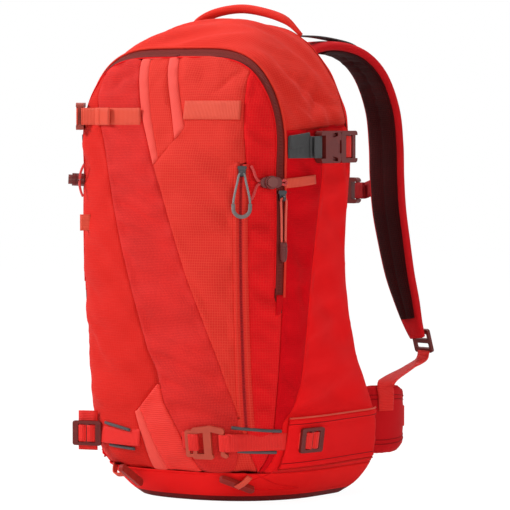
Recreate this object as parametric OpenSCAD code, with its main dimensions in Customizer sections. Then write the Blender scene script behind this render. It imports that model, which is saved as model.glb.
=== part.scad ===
// Ski backpack with a fold-down arch-zip front flap, a stiff framed back panel,
// a padded harness, a hook-closed lower ski strap and two ice-tool holders.
// +X is the wearer's right, +Y points to the wearer and +Z is up.
// The origin lies on the floor under the middle of the bag.

/* [Bag] */
// Height of the packed bag above the floor
bag_h = 560; // [500:5:620]
// Greatest width of the bag
bag_w = 308; // [280:4:340]
// How far the front bulges ahead of the origin
front_d = 105; // [95:1:120]
// How far the lumbar end stands behind the origin
back_d = 158; // [145:1:170]
// Height at which the straight sides end and the dome begins
dome_z = 372; // [350:2:390]
// Thickness of a lined fabric panel
panel_t = 3; // [2:0.5:4]
// Thickness of the moulded foam back panel
back_t = 8; // [5:0.5:10]
// Height of the seam around the base boot
boot_h = 36; // [28:1:44]
// Gap left between two sewn panels
seam_gap = 0.3; // [0.2:0.1:0.5]

/* [Front flap and zips] */
// Height of the fold line that the front flap turns on
fold_z = 240; // [220:2:260]
// How far the crest of the arch zip lies below the top of the bag
crest_drop = 40; // [30:1:55]
// Width of the zip tape that shows between two panels
zip_w = 9; // [7:0.5:12]
// Distance of the pocket zip from the middle
pocket_zip_x = 110; // [100:1:114]
// Height at which the pocket zip starts
pocket_top_z = 394; // [360:2:400]
// Height at which the pocket zip ends
pocket_low_z = 98; // [92:1:110]
// Height of the arch slider when the zip is closed
arch_slider_z = 356; // [340:1:356]
// Height of the pocket slider when the zip is closed
pocket_slider_z = 384; // [366:1:386]

/* [Frame] */
// Thickness of the plastic frame sheet
sheet_t = 1.4; // [1:0.1:2]
// Width of the aluminium stay
stay_w = 22; // [16:1:28]
// Thickness of the aluminium stay
stay_t = 3; // [2:0.5:4]

/* [Webbing] */
// Width of the side compression webbing
side_web_w = 25; // [20:1:28]
// Width of the ski, sternum and load-lifter webbing
ski_web_w = 20; // [16:1:22]
// Thickness of all webbing
web_t = 1.6; // [1.2:0.1:2]
// Height of the side compression straps
side_web_z = 411; // [400:1:420]
// Height of the upper ski strap
upper_ski_z = 446; // [440:1:452]
// Height of the lower ski strap
lower_ski_z = 74; // [66:1:74]
// Width of the ski loop at the side of the base
loop_w = 58; // [50:1:64]

/* [Harness] */
// Width of a shoulder strap
strap_w = 54; // [46:1:62]
// Thickness of a shoulder strap's foam
strap_t = 11; // [9:0.5:13]
// Thickness of the mesh lining under a shoulder strap
lining_t = 3; // [2:0.5:4]
// How far below the top of the bag the shoulder straps leave its back
strap_drop = 55; // [50:1:65]
// Distance of a strap's root from the middle
strap_x = 48; // [44:1:54]
// Height of the sternum strap
sternum_z = 354; // [340:1:365]
// Thickness of a hip-belt wing
wing_t = 11; // [9:0.5:13]
// Height of a hip-belt wing at its root
wing_h = 84; // [76:1:88]
// Height of the middle of the hip belt
belt_z = 83; // [80:1:86]
// Width of the hip-belt webbing
belt_web_w = 25; // [20:1:30]

/* [Hardware] */
// Thickness of a side-release buckle
buckle_t = 9; // [8:0.5:11]
// Running gap between a buckle's two halves
buckle_gap = 0.4; // [0.3:0.05:0.6]
// Length of the lower ski hook
hook_l = 52; // [48:1:56]
// Height of the lower ski hook
hook_h = 40; // [36:1:44]
// Thickness of the hook's plate
hook_t = 3.6; // [3:0.2:4.2]
// Diameter of the pull cords
pull_cord_d = 2.6; // [2:0.2:3]
// Diameter of the elastic cord
bungee_d = 3; // [2.6:0.2:3.4]
// Outer diameter of a cord lock
lock_d = 15; // [13:0.5:16]

/* [Hidden] */
$fn = 40;

coral = "#e25e48";
red = "#d8282a";
deep_red = "#b5101c";
maroon = "#6b3332";
dark_maroon = "#4a1012";
grey_web = "#474546";
grey_plastic = "#7f6a68";
metal = "#a8a8a8";
copper_red = "#cc4734";

// ---- form of the bag -------------------------------------------------------

// Half width against height, as shares of bag_w / 2 and dome_z
width_line = [[0, 0.72], [0.03, 0.81], [0.11, 0.92], [0.2, 0.965], [0.3, 0.975], [0.5, 0.98],
    [0.78, 0.99], [1, 1]];
// Front line in the middle, as shares of bag_h and front_d
front_line = [[0, -0.5], [0.011, -0.58], [0.032, -0.7], [0.071, -0.86], [0.136, -0.95],
    [0.2, -0.99], [0.32, -1], [0.52, -1.01], [0.664, -1], [0.725, -0.94], [0.786, -0.87],
    [0.85, -0.79], [0.893, -0.7], [0.929, -0.552], [0.955, -0.4], [0.977, -0.2], [1, 0.2]];
// Back line in the middle, as shares of bag_h and back_d
back_line = [[0, 0.81], [0.011, 0.86], [0.032, 0.94], [0.071, 1], [0.136, 0.98], [0.2, 0.9],
    [0.241, 0.81], [0.284, 0.71], [0.325, 0.645], [0.368, 0.595], [0.41, 0.55], [0.452, 0.52],
    [0.514, 0.5], [0.577, 0.507], [0.664, 0.544], [0.766, 0.57], [0.85, 0.57], [0.914, 0.545],
    [0.955, 0.52], [0.977, 0.48], [1, 0.38]];
dome_r = bag_h - dome_z;
crest_z = bag_h - crest_drop;
strap_z = bag_h - strap_drop;
dome_n = 2.3;   // roundness of the dome seen from the front
square_rise = 100;   // height over which the dome's front corners turn square
back_n = 7;     // squareness of the back corners

function table_slope(t, i) =
    let (a = max(i - 1, 0), b = min(i + 1, len(t) - 1)) (t[b][1] - t[a][1]) / (t[b][0] - t[a][0]);
function table_span(t, x, i = 0) = i >= len(t) - 2 || x < t[i + 1][0] ? i : table_span(t, x, i + 1);
// Smooth curve through a table's points
function smooth(t, x) =
    let (v = min(max(x, t[0][0]), t[len(t) - 1][0]), i = table_span(t, v),
        w = t[i + 1][0] - t[i][0], s = (v - t[i][0]) / w)
    (2 * s ^ 3 - 3 * s ^ 2 + 1) * t[i][1] + (s ^ 3 - 2 * s ^ 2 + s) * w * table_slope(t, i)
    + (3 * s ^ 2 - 2 * s ^ 3) * t[i + 1][1] + (s ^ 3 - s ^ 2) * w * table_slope(t, i + 1);
function ease(s) = let (v = min(max(s, 0), 1)) v * v * (3 - 2 * v);

// Half width at height z, drawn in by d
function half_w(z, d = 0) = z <= dome_z ? bag_w / 2 * smooth(width_line, z / dome_z) - d
    : (bag_w / 2 - d) * max(1 - ((z - dome_z) / (dome_r - d)) ^ dome_n, 0) ^ (1 / dome_n);
function front_y(z, d = 0) = front_d * smooth(front_line, z / bag_h) + d;
function back_y(z, d = 0) = back_d * smooth(back_line, z / bag_h) - d;
function mid_y(z) = 0.38 * front_y(z) + 0.62 * back_y(z);
// Squareness of the front corners, rounder at the base and squarer in the dome
function front_n(z) = 2.3 + 0.6 * ease(z / (2 * boot_h)) + 1.9 * ease((z - dome_z) / square_rise);

// Share of the half depth at depth y, 1 on the front or back line
function depth_share(y, z, d = 0) = let (m = mid_y(z))
    y < m ? (y - m) / (front_y(z, d) - m) : (y - m) / (back_y(z, d) - m);
function corner_n(y, z) = y < mid_y(z) ? front_n(z) : back_n;
// Half width at depth y and height z
function side_x(y, z, d = 0) = let (n = corner_n(y, z))
    half_w(z, d) * max(1 - min(depth_share(y, z, d), 1) ^ n, 0) ^ (1 / n);
// Depth of the front surface at x, z
function face_y(x, z, d = 0) = let (m = mid_y(z), n = front_n(z))
    m + (front_y(z, d) - m) * max(1 - min(abs(x) / half_w(z, d), 1) ^ n, 0) ^ (1 / n);
// Depth of the back surface at x, z
function rear_y(x, z, d = 0) = let (m = mid_y(z))
    m + (back_y(z, d) - m) * max(1 - min(abs(x) / half_w(z, d), 1) ^ back_n, 0) ^ (1 / back_n);
// Direction that the side faces at depth y, measured from +X towards -Y
function side_turn(y, z) = let (e = 0.5)
    atan2(side_x(y + e, z) - side_x(y - e, z), 2 * e);
// Direction that the front faces at x, measured from -Y towards +X
function front_turn(x, z) = let (e = 0.5) atan2(face_y(x + e, z) - face_y(x - e, z), 2 * e);

// Point of the section at height z: angle a runs from the middle line out to the side
function front_point(a, z, d = 0) = let (m = mid_y(z), n = front_n(z))
    [sign(a) * half_w(z, d) * abs(sin(a)) ^ (2 / n), m + (front_y(z, d) - m) * cos(a) ^ (2 / n), z];
function back_point(a, z, d = 0) = let (m = mid_y(z))
    [sign(a) * half_w(z, d) * abs(sin(a)) ^ (2 / back_n),
        m + (back_y(z, d) - m) * cos(a) ^ (2 / back_n), z];
// Angle at which the section reaches depth y
function reach_angle(y, z, d = 0) = acos(min(depth_share(y, z, d), 1) ^ (corner_n(y, z) / 2));

// How far a ray from the dome's centre runs to the skin at depth y
function inside(x, y, z, d) = let (w = half_w(z, d), n = corner_n(y, z), c = depth_share(y, z, d))
    w > 0.01 && c < 1 && (x / w) ^ n + c ^ n < 1;
function ray(t, y, d, lo = 0, hi = 400, i = 18) = i == 0 ? lo : let (r = (lo + hi) / 2)
    inside(r * cos(t), y, dome_z + r * sin(t), d) ? ray(t, y, d, r, hi, i - 1)
    : ray(t, y, d, lo, r, i - 1);
function dome_point(t, y, d = 0) = let (r = ray(t > 90 ? 180 - t : t, y, d))
    [r * cos(t), y, dome_z + r * sin(t)];

// Planes of the two seams that run round the bag
zip_y = front_y(crest_z);
zip_front_y = zip_y - zip_w / 2;
zip_back_y = zip_y + zip_w / 2;
rear_seam = 16;                                  // rear seam ahead of the back line
rear_flat_z = bag_h - 60;                        // the rear seam stays upright above this
function rear_edge_y(z) = back_y(min(z, rear_flat_z)) - rear_seam;
dome_edge_y = rear_edge_y(dome_z);
hood_z = dome_z;                                 // seam between side panel and hood

// ---- building blocks ---------------------------------------------------------

// Closed sheet between two grids of points, both listed row by row
module slab(outer, inner) {
    rows = len(outer);
    cols = len(outer[0]);
    n = rows * cols;
    at = function(r, c) r * cols + c;
    rim = concat([for (c = [0:cols - 1]) at(0, c)], [for (r = [1:rows - 1]) at(r, cols - 1)],
        [for (c = [cols - 2:-1:0]) at(rows - 1, c)], [for (r = [rows - 2:-1:1]) at(r, 0)]);
    k = len(rim);
    polyhedron(points = concat([for (r = outer) each r], [for (r = inner) each r]),
        faces = concat(
            [for (r = [0:rows - 2], c = [0:cols - 2])
                each [[at(r, c), at(r + 1, c), at(r + 1, c + 1)],
                    [at(r, c), at(r + 1, c + 1), at(r, c + 1)]]],
            [for (r = [0:rows - 2], c = [0:cols - 2])
                each [[n + at(r, c), n + at(r + 1, c + 1), n + at(r + 1, c)],
                    [n + at(r, c), n + at(r, c + 1), n + at(r + 1, c + 1)]]],
            [for (i = [0:k - 1]) let (a = rim[i], b = rim[(i + 1) % k])
                each [[a, b, b + n], [a, b + n, a + n]]]));
}

// Closed body through a stack of rings, fanned shut at both ends
module ring_stack(rings) {
    rows = len(rings);
    n = len(rings[0]);
    middle = function(r) [for (k = [0:2]) [for (p = r) p[k]] * [for (p = r) 1 / n]];
    low = rows * n;
    top = low + 1;
    polyhedron(points = concat([for (r = rings) each r], [middle(rings[0]), middle(rings[rows - 1])]),
        faces = concat(
            [for (r = [0:rows - 2], i = [0:n - 1]) let (a = r * n + i, b = r * n + (i + 1) % n)
                each [[a, b, b + n], [a, b + n, a + n]]],
            [for (i = [0:n - 1]) [low, (i + 1) % n, i]],
            [for (i = [0:n - 1]) [top, low - n + i, low - n + (i + 1) % n]]));
}

function unit(v) = v / norm(v);
function tangent(p, i) = unit(p[min(i + 1, len(p) - 1)] - p[max(i - 1, 0)]);
// Points of a smooth curve through hand-set points, k steps between two of them
function spline(p, k) = let (n = len(p) - 1) [for (j = [0:n * k]) let (i = min(floor(j / k), n - 1),
    s = j / k - i, a = p[max(i - 1, 0)], b = p[i], c = p[i + 1], d = p[min(i + 2, n)])
    b + (c - a) * s / 2 + (2 * a - 5 * b + 4 * c - d) * s ^ 2 / 2 + (3 * b - 3 * c + d - a) * s ^ 3 / 2];

// Round cord along points
module cord(path, d, sides = 8) {
    ring_stack([for (i = [0:len(path) - 1]) let (t = tangent(path, i),
        u = unit(cross(t, abs(t[2]) < 0.9 ? [0, 0, 1] : [0, 1, 0])), v = cross(t, u))
        [for (j = [0:sides - 1]) path[i] + d / 2 * (cos(360 * j / sides) * u
            + sin(360 * j / sides) * v)]]);
}

// Padded strap along points: across[i] is the width direction, w and t are tables along it
module padded_strap(path, across, w, t, lift = 0) {
    last = len(path) - 1;
    ring_stack([for (i = [0:last]) let (f = tangent(path, i), s = i / last,
        u = unit(across[i] - (across[i] * f) * f), v = cross(u, f),
        hw = smooth(w, s) / 2, ht = smooth(t, s) / 2, e = 0.55)
        [for (q = [[1, -e], [1, e], [0.8, 1], [0, 1.12], [-0.8, 1], [-1, e], [-1, -e], [-0.8, -1],
            [0, -1], [0.8, -1]]) path[i] + q[0] * hw * u + (q[1] * ht + lift) * v]]);
}

// Flat webbing along points, its width in the direction across, or turning through a list of them
module flat_webbing(path, across, w, t) {
    turns = is_num(across[0]) ? [across, across] : across;
    rows = [for (i = [0:len(path) - 1]) let (f = tangent(path, i),
        s = i / (len(path) - 1) * (len(turns) - 1), k = min(floor(s), len(turns) - 2),
        a = turns[k] + (s - k) * (turns[k + 1] - turns[k]),
        u = unit(a - (a * f) * f), v = cross(u, f))
        [path[i] - w / 2 * u, path[i] + w / 2 * u, v * t / 2]];
    slab([for (r = rows) [r[0] + r[2], r[1] + r[2]]], [for (r = rows) [r[0] - r[2], r[1] - r[2]]]);
}

// Strip sewn flat on the front along points [x, z]
module front_strip(path, w, lift, t, cols = 4) {
    grid = function(d) [for (i = [0:len(path) - 1]) let (f = tangent(path, i), u = [f[1], -f[0]])
        [for (c = [0:cols]) let (p = path[i] + (c / cols - 0.5) * w * u)
            [p[0], face_y(p[0], p[1], -d), p[1]]]];
    slab(grid(lift + t), grid(lift));
}

// Strip on the right side along points [y, z], or [y, z, how far it stands off]
module side_strip(path, w, lift, t, cols = 2) {
    line = [for (p = path) [p[0], p[1]]];
    grid = function(d) [for (i = [0:len(path) - 1]) let (f = tangent(line, i), u = [f[1], -f[0]],
        stand = len(path[i]) > 2 ? path[i][2] : 0)
        [for (c = [0:cols]) let (p = line[i] + (c / cols - 0.5) * w * u)
            [side_x(p[0], p[1], -d - stand), p[0], p[1]]]];
    slab(grid(lift + t), grid(lift));
}

// Straight bar with round ends, drawn flat; its sides lie just inside the ends' tangents
pill_inset = 0.01;
module pill(p, q, w) {
    v = q - p;
    h = w / 2 - pill_inset;
    translate(p) rotate(atan2(v[1], v[0])) translate([0, -h]) square([norm(v), 2 * h]);
    translate(p) circle(d = w);
    translate(q) circle(d = w);
}
module rounded_rect(size, r) {
    for (x = [-1, 1], y = [-1, 1])
        translate([x * (size[0] / 2 - r), y * (size[1] / 2 - r)]) circle(r);
    square([size[0] - 2 * r, size[1]], center = true);
    square([size[0], size[1] - 2 * r], center = true);
}
module both_sides() {
    children();
    mirror([1, 0, 0]) children();
}

// Frames for hardware: X along the surface, Y up, Z out of the bag
module place_front(x, z, lift) {
    lean = atan2(face_y(x, z - 1) - face_y(x, z + 1), 2);
    translate([x, face_y(x, z, -lift), z]) rotate([90, 0, front_turn(x, z)]) rotate([lean, 0, 0])
        children();
}
module place_side(y, z, lift) {
    lean = atan2(side_x(y, z + 1) - side_x(y, z - 1), 2);
    translate([side_x(y, z, -lift), y, z]) rotate([90, 0, 90 - side_turn(y, z)]) rotate([lean, 0, 0])
        children();
}

// Height of the dome above x, y
function top_z(x, y, lo = dome_z, hi = bag_h, i = 18) = i == 0 ? lo : let (m = (lo + hi) / 2)
    inside(x, y, m, 0) ? top_z(x, y, m, hi, i - 1) : top_z(x, y, lo, m, i - 1);
// Heights at which the front and back lines cross a plane
function front_crest(y, lo = dome_z, hi = bag_h, i = 18) = i == 0 ? lo : let (m = (lo + hi) / 2)
    front_y(m) < y ? front_crest(y, m, hi, i - 1) : front_crest(y, lo, m, i - 1);
function rear_crest(y, lo = crest_z, hi = bag_h, i = 18) = i == 0 ? lo : let (m = (lo + hi) / 2)
    back_y(m) > y ? rear_crest(y, m, hi, i - 1) : rear_crest(y, lo, m, i - 1);

// ---- fabric panels -----------------------------------------------------------

// Outline of the bag at height z, drawn in by d
function outline(z, d = 0) = concat([for (a = [-90:10:90]) front_point(a, z, d)],
    [for (a = [80:-10:-80]) back_point(a, z, d)]);
boot_floor_t = 4;
boot_heights = [0, 4, 12, 24, boot_h];
boot_inner_heights = [boot_h, 24, 12, boot_floor_t];
module boot() {
    color(deep_red) ring_stack(concat([for (z = boot_heights) outline(z)],
        [for (z = boot_inner_heights) outline(z, panel_t)]));
}

// Front panel between two heights, its sides on the plane y
function front_grid(low, high, y, d, rows, crowd = 1) = [for (r = [0:rows])
    let (z = low + (high - low) * (1 - (1 - r / rows) ^ crowd), a = reach_angle(y, z, d))
    [for (c = [0:12]) let (p = front_point((c / 6 - 1) * a, z, d))
        c == 0 || c == 12 ? [p[0], y, p[2]] : p]];
module front_lower_panel() {
    color(red) slab(
        front_grid(boot_h + seam_gap, fold_z - seam_gap, zip_back_y - seam_gap, 0, 8),
        front_grid(boot_h + seam_gap, fold_z - seam_gap, zip_back_y - seam_gap, panel_t, 8));
}
crest_trim = 0.6;   // keeps the top row of the flap wide enough to sew
module front_flap() {
    color(coral) slab(
        front_grid(fold_z + seam_gap, front_crest(zip_front_y) - crest_trim, zip_front_y, 0, 14, 1.9),
        front_grid(fold_z + seam_gap, front_crest(zip_front_y - panel_t) - crest_trim,
            zip_front_y, panel_t, 14, 1.9));
}

// Heights of the rows that side and back panels share along the rear seam
side_heights = [for (r = [0:11]) boot_h + seam_gap + (hood_z - boot_h - 2 * seam_gap) * r / 11];
function side_grid(d) = [for (z = side_heights)
    let (y0 = zip_back_y, y1 = rear_edge_y(z))
    [for (c = [0:7]) let (y = y0 + (y1 - y0) * c / 7) [side_x(y, z, d), y, z]]];
module side_panel_right() { color(deep_red) slab(side_grid(0), side_grid(panel_t)); }
module side_panel_left() { mirror([1, 0, 0]) side_panel_right(); }

hood_tilt = 0.1;   // lifts the hood's hems clear of the side panels, in degrees
function hood_grid(d) = [for (r = [0:24]) let (t = hood_tilt + (180 - 2 * hood_tilt) * r / 24)
    [for (c = [0:7]) dome_point(t, zip_back_y + (dome_edge_y - zip_back_y) * c / 7, d)]];
module hood() { color(coral) slab(hood_grid(0), hood_grid(panel_t)); }

// Back panel: its edges wrap round the back corners to the rear seam
function back_grid(d) = let (high = rear_crest(dome_edge_y + seam_gap + d) - crest_trim,
        heights = concat(side_heights, [for (r = [1:8])
            hood_z + (high - hood_z) * (1 - (1 - r / 8) ^ 1.7)]))
    [for (z = heights) let (y = (z > dome_z ? dome_edge_y : rear_edge_y(z)) + seam_gap,
        a = reach_angle(y, z, d))
        [for (c = [0:12]) let (p = back_point((1 - c / 6) * a, z, d))
            c == 0 || c == 12 ? [p[0], y, p[2]] : p]];
module back_panel() { color(dark_maroon) slab(back_grid(0), back_grid(back_t)); }

// Foam pad raised on the back, thickest inside its border
module back_pad(x0, x1, z0, z1, rise) {
    grid = function(k) [for (r = [0:8]) let (v = r / 4 - 1, z = z0 + (z1 - z0) * r / 8)
        [for (c = [0:6]) let (u = 1 - c / 3, x = (x0 + x1) / 2 + (x1 - x0) / 2 * u)
            [x, rear_y(x, z) + pad_lift + k * (2 + rise(x, z) * (1 - u ^ 6) * (1 - v ^ 6)), z]]];
    slab(grid(1), grid(0));
}
pad_rise = 8;
pad_lift = 0.8;     // clears the facets of the back panel
pad_inner_x = 16;
pad_outer_x = bag_w / 2 - 54;
pad_low_z = 196;
pad_high_z = bag_h - 108;
module back_pads() {
    color(maroon) both_sides()
        back_pad(pad_inner_x, pad_outer_x, pad_low_z, pad_high_z, function(x, z) pad_rise);
}
lumbar_w = 222;
lumbar_low_z = 46;
lumbar_high_z = 139;
lumbar_y = back_d + 14;   // face of the lumbar pad
module lumbar_pad() {
    color(maroon) back_pad(-lumbar_w / 2, lumbar_w / 2, lumbar_low_z, lumbar_high_z,
        function(x, z) max(lumbar_y - rear_y(x, z) - 2, 4));
}

// ---- frame inside the back panel ---------------------------------------------

module inner_slab(half, z0, z1, inset, t) {
    grid = function(d) [for (r = [0:12]) let (z = z0 + (z1 - z0) * r / 12)
        [for (c = [0:4]) let (x = half * (1 - c / 2)) [x, rear_y(x, z, d), z]]];
    slab(grid(inset), grid(inset + t));
}
sheet_inset = back_t + 1.6;
stay_inset = sheet_inset + sheet_t + seam_gap;
sheet_half = bag_w / 2 - 56;
sheet_low_z = boot_h + 10;
sheet_high_z = bag_h - 82;
stay_overhang = 2;   // at the foot, and three times that at the head
module frame_sheet() {
    color("#2e2e30") inner_slab(sheet_half, sheet_low_z, sheet_high_z, sheet_inset, sheet_t);
}
module frame_stay() {
    color(metal) inner_slab(stay_w / 2, sheet_low_z - stay_overhang,
        sheet_high_z + 3 * stay_overhang, stay_inset, stay_t);
}

// ---- zips ----------------------------------------------------------------------

zip_sink = 0.3;   // zips lie this far below the fabric
zip_t = 1.8;
zip_rows = concat(
    [for (i = [0:3]) let (z = fold_z + (dome_z - fold_z) * i / 4)
        function(y, d) [side_x(y, z, d), y, z]],
    [for (i = [0:20]) function(y, d) dome_point(9 * i, y, d)],
    [for (i = [3:-1:0]) let (z = fold_z + (dome_z - fold_z) * i / 4)
        function(y, d) [-side_x(y, z, d), y, z]]);
module arch_zip() {
    grid = function(d) [for (f = zip_rows) [for (c = [0:2])
        f(zip_front_y + seam_gap + (zip_w - 2 * seam_gap) * c / 2, d)]];
    color(maroon) slab(grid(zip_sink), grid(zip_sink + zip_t));
}
pocket_zip_w = 7;
pocket_zip_t = 1.2;
pocket_lift = seam_gap + pocket_zip_t + 0.8;   // slider above the pocket zip's strip
module pocket_zip(low, high) {
    color("#8c1a1c") front_strip([for (i = [0:6]) [pocket_zip_x, low + (high - low) * i / 6]],
        pocket_zip_w, seam_gap, pocket_zip_t, 2);
}
module pocket_zip_upper() { pocket_zip(fold_z + seam_gap, pocket_top_z); }
module pocket_zip_lower() { pocket_zip(pocket_low_z, fold_z - seam_gap); }

// Slider lying on a zip that runs up and down, its bail at the lower end
slider_w = 8;
slider_l = 12;
slider_t = 4.4;
bail_r = 3.4;
module zip_slider() {
    color(metal) {
        difference() {
            linear_extrude(slider_t) union() {
                rounded_rect([slider_w, slider_l], 2);
                translate([0, slider_l / 2 - 2]) rounded_rect([slider_w + 2.4, 4], 1.6);
            }
            translate([0, 0, slider_t / 2 - 0.5]) linear_extrude(1)
                square([slider_w / 2, slider_l + 1], center = true);
        }
        // Bail with a cross bore that the pull hangs from
        translate([bail_w / 2, pull_top, slider_t]) rotate([0, -90, 0]) linear_extrude(bail_w)
            difference() {
                union() {
                    translate([bail_rise, 0]) circle(bail_r);
                    translate([0, -bail_r]) square([bail_rise, 2 * bail_r]);
                }
                translate([bail_rise, 0]) circle(bail_bore_r);
            }
    }
}
bail_w = 2.8;
bail_rise = 2;        // the bore stands this far out, so that a cord swings clear of the slider
bail_bore_r = 2.2;
slider_lift = 0.6;   // clearance over the zip
module arch_slider() { place_side(zip_y, arch_slider_z, slider_lift) zip_slider(); }
module pocket_slider() {
    place_front(pocket_zip_x, pocket_slider_z, pocket_lift) zip_slider();
}

// Pull cords: twin strands that hang from the bail, in the slider's own frame
pull_top = -slider_l / 2 + 3;                   // height of the bail bore
pull_out = slider_t + bail_rise;                // its distance from the slider's back
pull_route = [[-3.4, -4, 0.5], [-3, -13, 0.4], [-2.6, -26, 0], [-2.4, -40, -0.4],
    [-2.2, -50, -0.6]];
loop_route = [[-3.8, -3.4, 0.4], [-4.8, -9, 0.6], [-7, -18, 0.4], [-9, -28, 0.2],
    [-9.6, -34, 0]];
// Cord from the foot of one strand, through the bail and down the other strand
function pull_path(route) = concat([for (i = [len(route) - 1:-1:0]) route[i]],
    [[-2.4, -0.4, 0], [0, 0, 0], [2.4, -0.4, 0]], [for (p = route) [-p[0], p[1], p[2]]]);
module pull_cord(route) {
    translate([0, pull_top, pull_out]) cord(spline(pull_path(route), 2), pull_cord_d);
}
// Tapered grip moulded round the ends of the two strands
grip_l = 22;
module pull_grip(foot) {
    color(maroon) translate([0, pull_top + foot[1], pull_out + foot[2]]) rotate([90, 0, 0])
        difference() {
            rotate_extrude() polygon([[0, 0], [3.6, 0], [4.2, 2], [4.4, 10], [3.6, grip_l - 3],
                [2, grip_l], [0, grip_l]]);
            for (i = [0:4]) translate([0, 0, 5 + 3 * i]) rotate_extrude()
                translate([4.6, 0]) circle(0.6, $fn = 16);
        }
}
// Horseshoe moulded round the foot of a wide cord loop
shoe_bar = 4.4;
module pull_shoe(foot) {
    color(grey_plastic) translate([0, pull_top + foot[1], pull_out + foot[2]]) {
        rotate([0, 0, 180]) rotate_extrude(angle = 180) translate([-foot[0], 0]) circle(d = shoe_bar);
        for (x = [foot[0], -foot[0]]) translate([x, 0, 0]) rotate([-90, 0, 0]) difference() {
            cylinder(d = shoe_bar, h = 5);
            translate([0, 0, 1]) cylinder(d = pull_cord_d + 0.2, h = 5);
        }
    }
}
module arch_pull_cord() {
    color("#e0604c") place_side(zip_y, arch_slider_z, slider_lift) pull_cord(pull_route);
}
module arch_pull_end() {
    place_side(zip_y, arch_slider_z, slider_lift)
        pull_grip(pull_route[len(pull_route) - 1] - [0, 0.2, 0]);
}
module pocket_pull_cord() {
    color("#8f8a88") place_front(pocket_zip_x, pocket_slider_z, pocket_lift)
        pull_cord(loop_route);
}
module pocket_pull_end() {
    place_front(pocket_zip_x, pocket_slider_z, pocket_lift)
        pull_shoe(loop_route[len(loop_route) - 1] - [0, 5.2, 0]);
}

// ---- harness -------------------------------------------------------------------

strap_root = [strap_x, back_y(strap_z) + 6, strap_z];
// Route of a shoulder strap from its root, on the face between foam and lining
strap_route = [[0, 0, 0], [4, 34, 16], [9, 72, 19], [16, 110, 10], [22, 140, -14], [28, 156, -53],
    [32, 158, -94], [36, 154, -134], [40, 153, -174], [46, 155, -214], [52, 159, -254],
    [57, 167, -287], [61, 173, -312],
    [65, 179, -332]];
strap_path = spline([for (p = strap_route) strap_root + p], 2);
strap_widths = [[0, 0.9], [0.15, 1], [0.6, 1], [0.78, 0.84], [0.9, 0.62], [1, 0.42]];
strap_across = [for (p = strap_path) [0.978, -0.208, 0]];
function scaled(t, k) = [for (p = t) [p[0], p[1] * k]];
module shoulder_strap_right() {
    color(red) padded_strap(strap_path, strap_across, scaled(strap_widths, strap_w),
        [[0, strap_t - 2], [0.15, strap_t], [0.8, strap_t], [1, strap_t - 4]], strap_t / 2);
}
module shoulder_strap_left() { mirror([1, 0, 0]) shoulder_strap_right(); }
module strap_linings() {
    color(dark_maroon) both_sides() padded_strap(
        [for (i = [3:len(strap_path) - 2]) strap_path[i]], strap_across,
        [[0, strap_w - 5], [0.6, strap_w - 6], [0.78, 0.84 * strap_w - 6], [1, 0.46 * strap_w - 5]],
        [[0, lining_t], [1, lining_t]], -lining_t / 2 - 0.5);
}
// Direction out of a strap's outer face
function strap_out(i) = let (f = tangent(strap_path, i),
    u = unit(strap_across[i] - (strap_across[i] * f) * f)) cross(u, f);
function strap_top(i, lift) = strap_path[i] + (1.07 * strap_t + lift) * strap_out(i);
lifter_rise = 36;   // load lifters start this far above the strap roots
module load_lifters() {
    start = [strap_x + 6, rear_y(strap_x, strap_z + lifter_rise) + web_t / 2 + 0.5,
        strap_z + lifter_rise];
    color(grey_web) both_sides() flat_webbing(spline([start,
        (start + strap_top(5, 3)) / 2 + [0, 0, 2.5], strap_top(5, 2.2), strap_top(6, 1.5)], 3),
        [1, 0, 0], ski_web_w, web_t);
}

// Hip belt: each wing curves from the lumbar pad round towards the buckle
wing_root = [lumbar_w / 2 + 1.5, rear_y(lumbar_w / 2, belt_z) + wing_t / 2 + 2, belt_z];
wing_route = [[0, 0, 0], [12, 10, 0], [19, 24, 0], [20, 40, 0], [14, 56, 0], [-2, 71, 0],
    [-24, 81, 0]];
wing_path = spline([for (p = wing_route) wing_root + p], 2);
wing_heights = [[0, 1], [0.3, 1], [0.6, 0.9], [0.85, 0.66], [1, 0.42]];
module belt_wing_right() {
    color(red) padded_strap(wing_path, [for (p = wing_path) [0, 0, 1]],
        scaled(wing_heights, wing_h), [[0, wing_t - 3], [0.15, wing_t], [0.85, wing_t],
        [1, wing_t - 4]]);
}
module belt_wing_left() { mirror([1, 0, 0]) belt_wing_right(); }
wing_last = len(wing_path) - 1;
// Direction out of the wing's outer face
function wing_out(i) = let (f = tangent(wing_path, i)) [f[1], -f[0], 0];
function wing_face(i, lift) = wing_path[i] + (wing_t / 2 + lift) * wing_out(i);
belt_buckle_y = wing_face(wing_last, 3)[1] + 9;
// Belt webbing on the right side, ending in a fold round a buckle bar at x = bar_x
module belt_webbing(bar_x) {
    y = belt_buckle_y;
    flat_webbing(spline([wing_face(wing_last - 3, 2.4), wing_face(wing_last - 1, 2.6),
        [bar_x + 24, y - 0.6, belt_z], [bar_x + 9, y + fold_y, belt_z],
        [bar_x + 3, y + fold_y, belt_z]], 2), [0, 0, 1], belt_web_w, web_t);
    translate([bar_x, y, belt_z]) rotate([-90, 180, 0]) web_fold(belt_web_w);
}
module belt_webbing_right() {
    color(red) belt_webbing(buckle_female_l(belt_web_w) - buckle_bar / 2);
}
module belt_webbing_left() {
    color(red) mirror([1, 0, 0]) belt_webbing(male_fold_x(belt_web_w));
}

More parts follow.
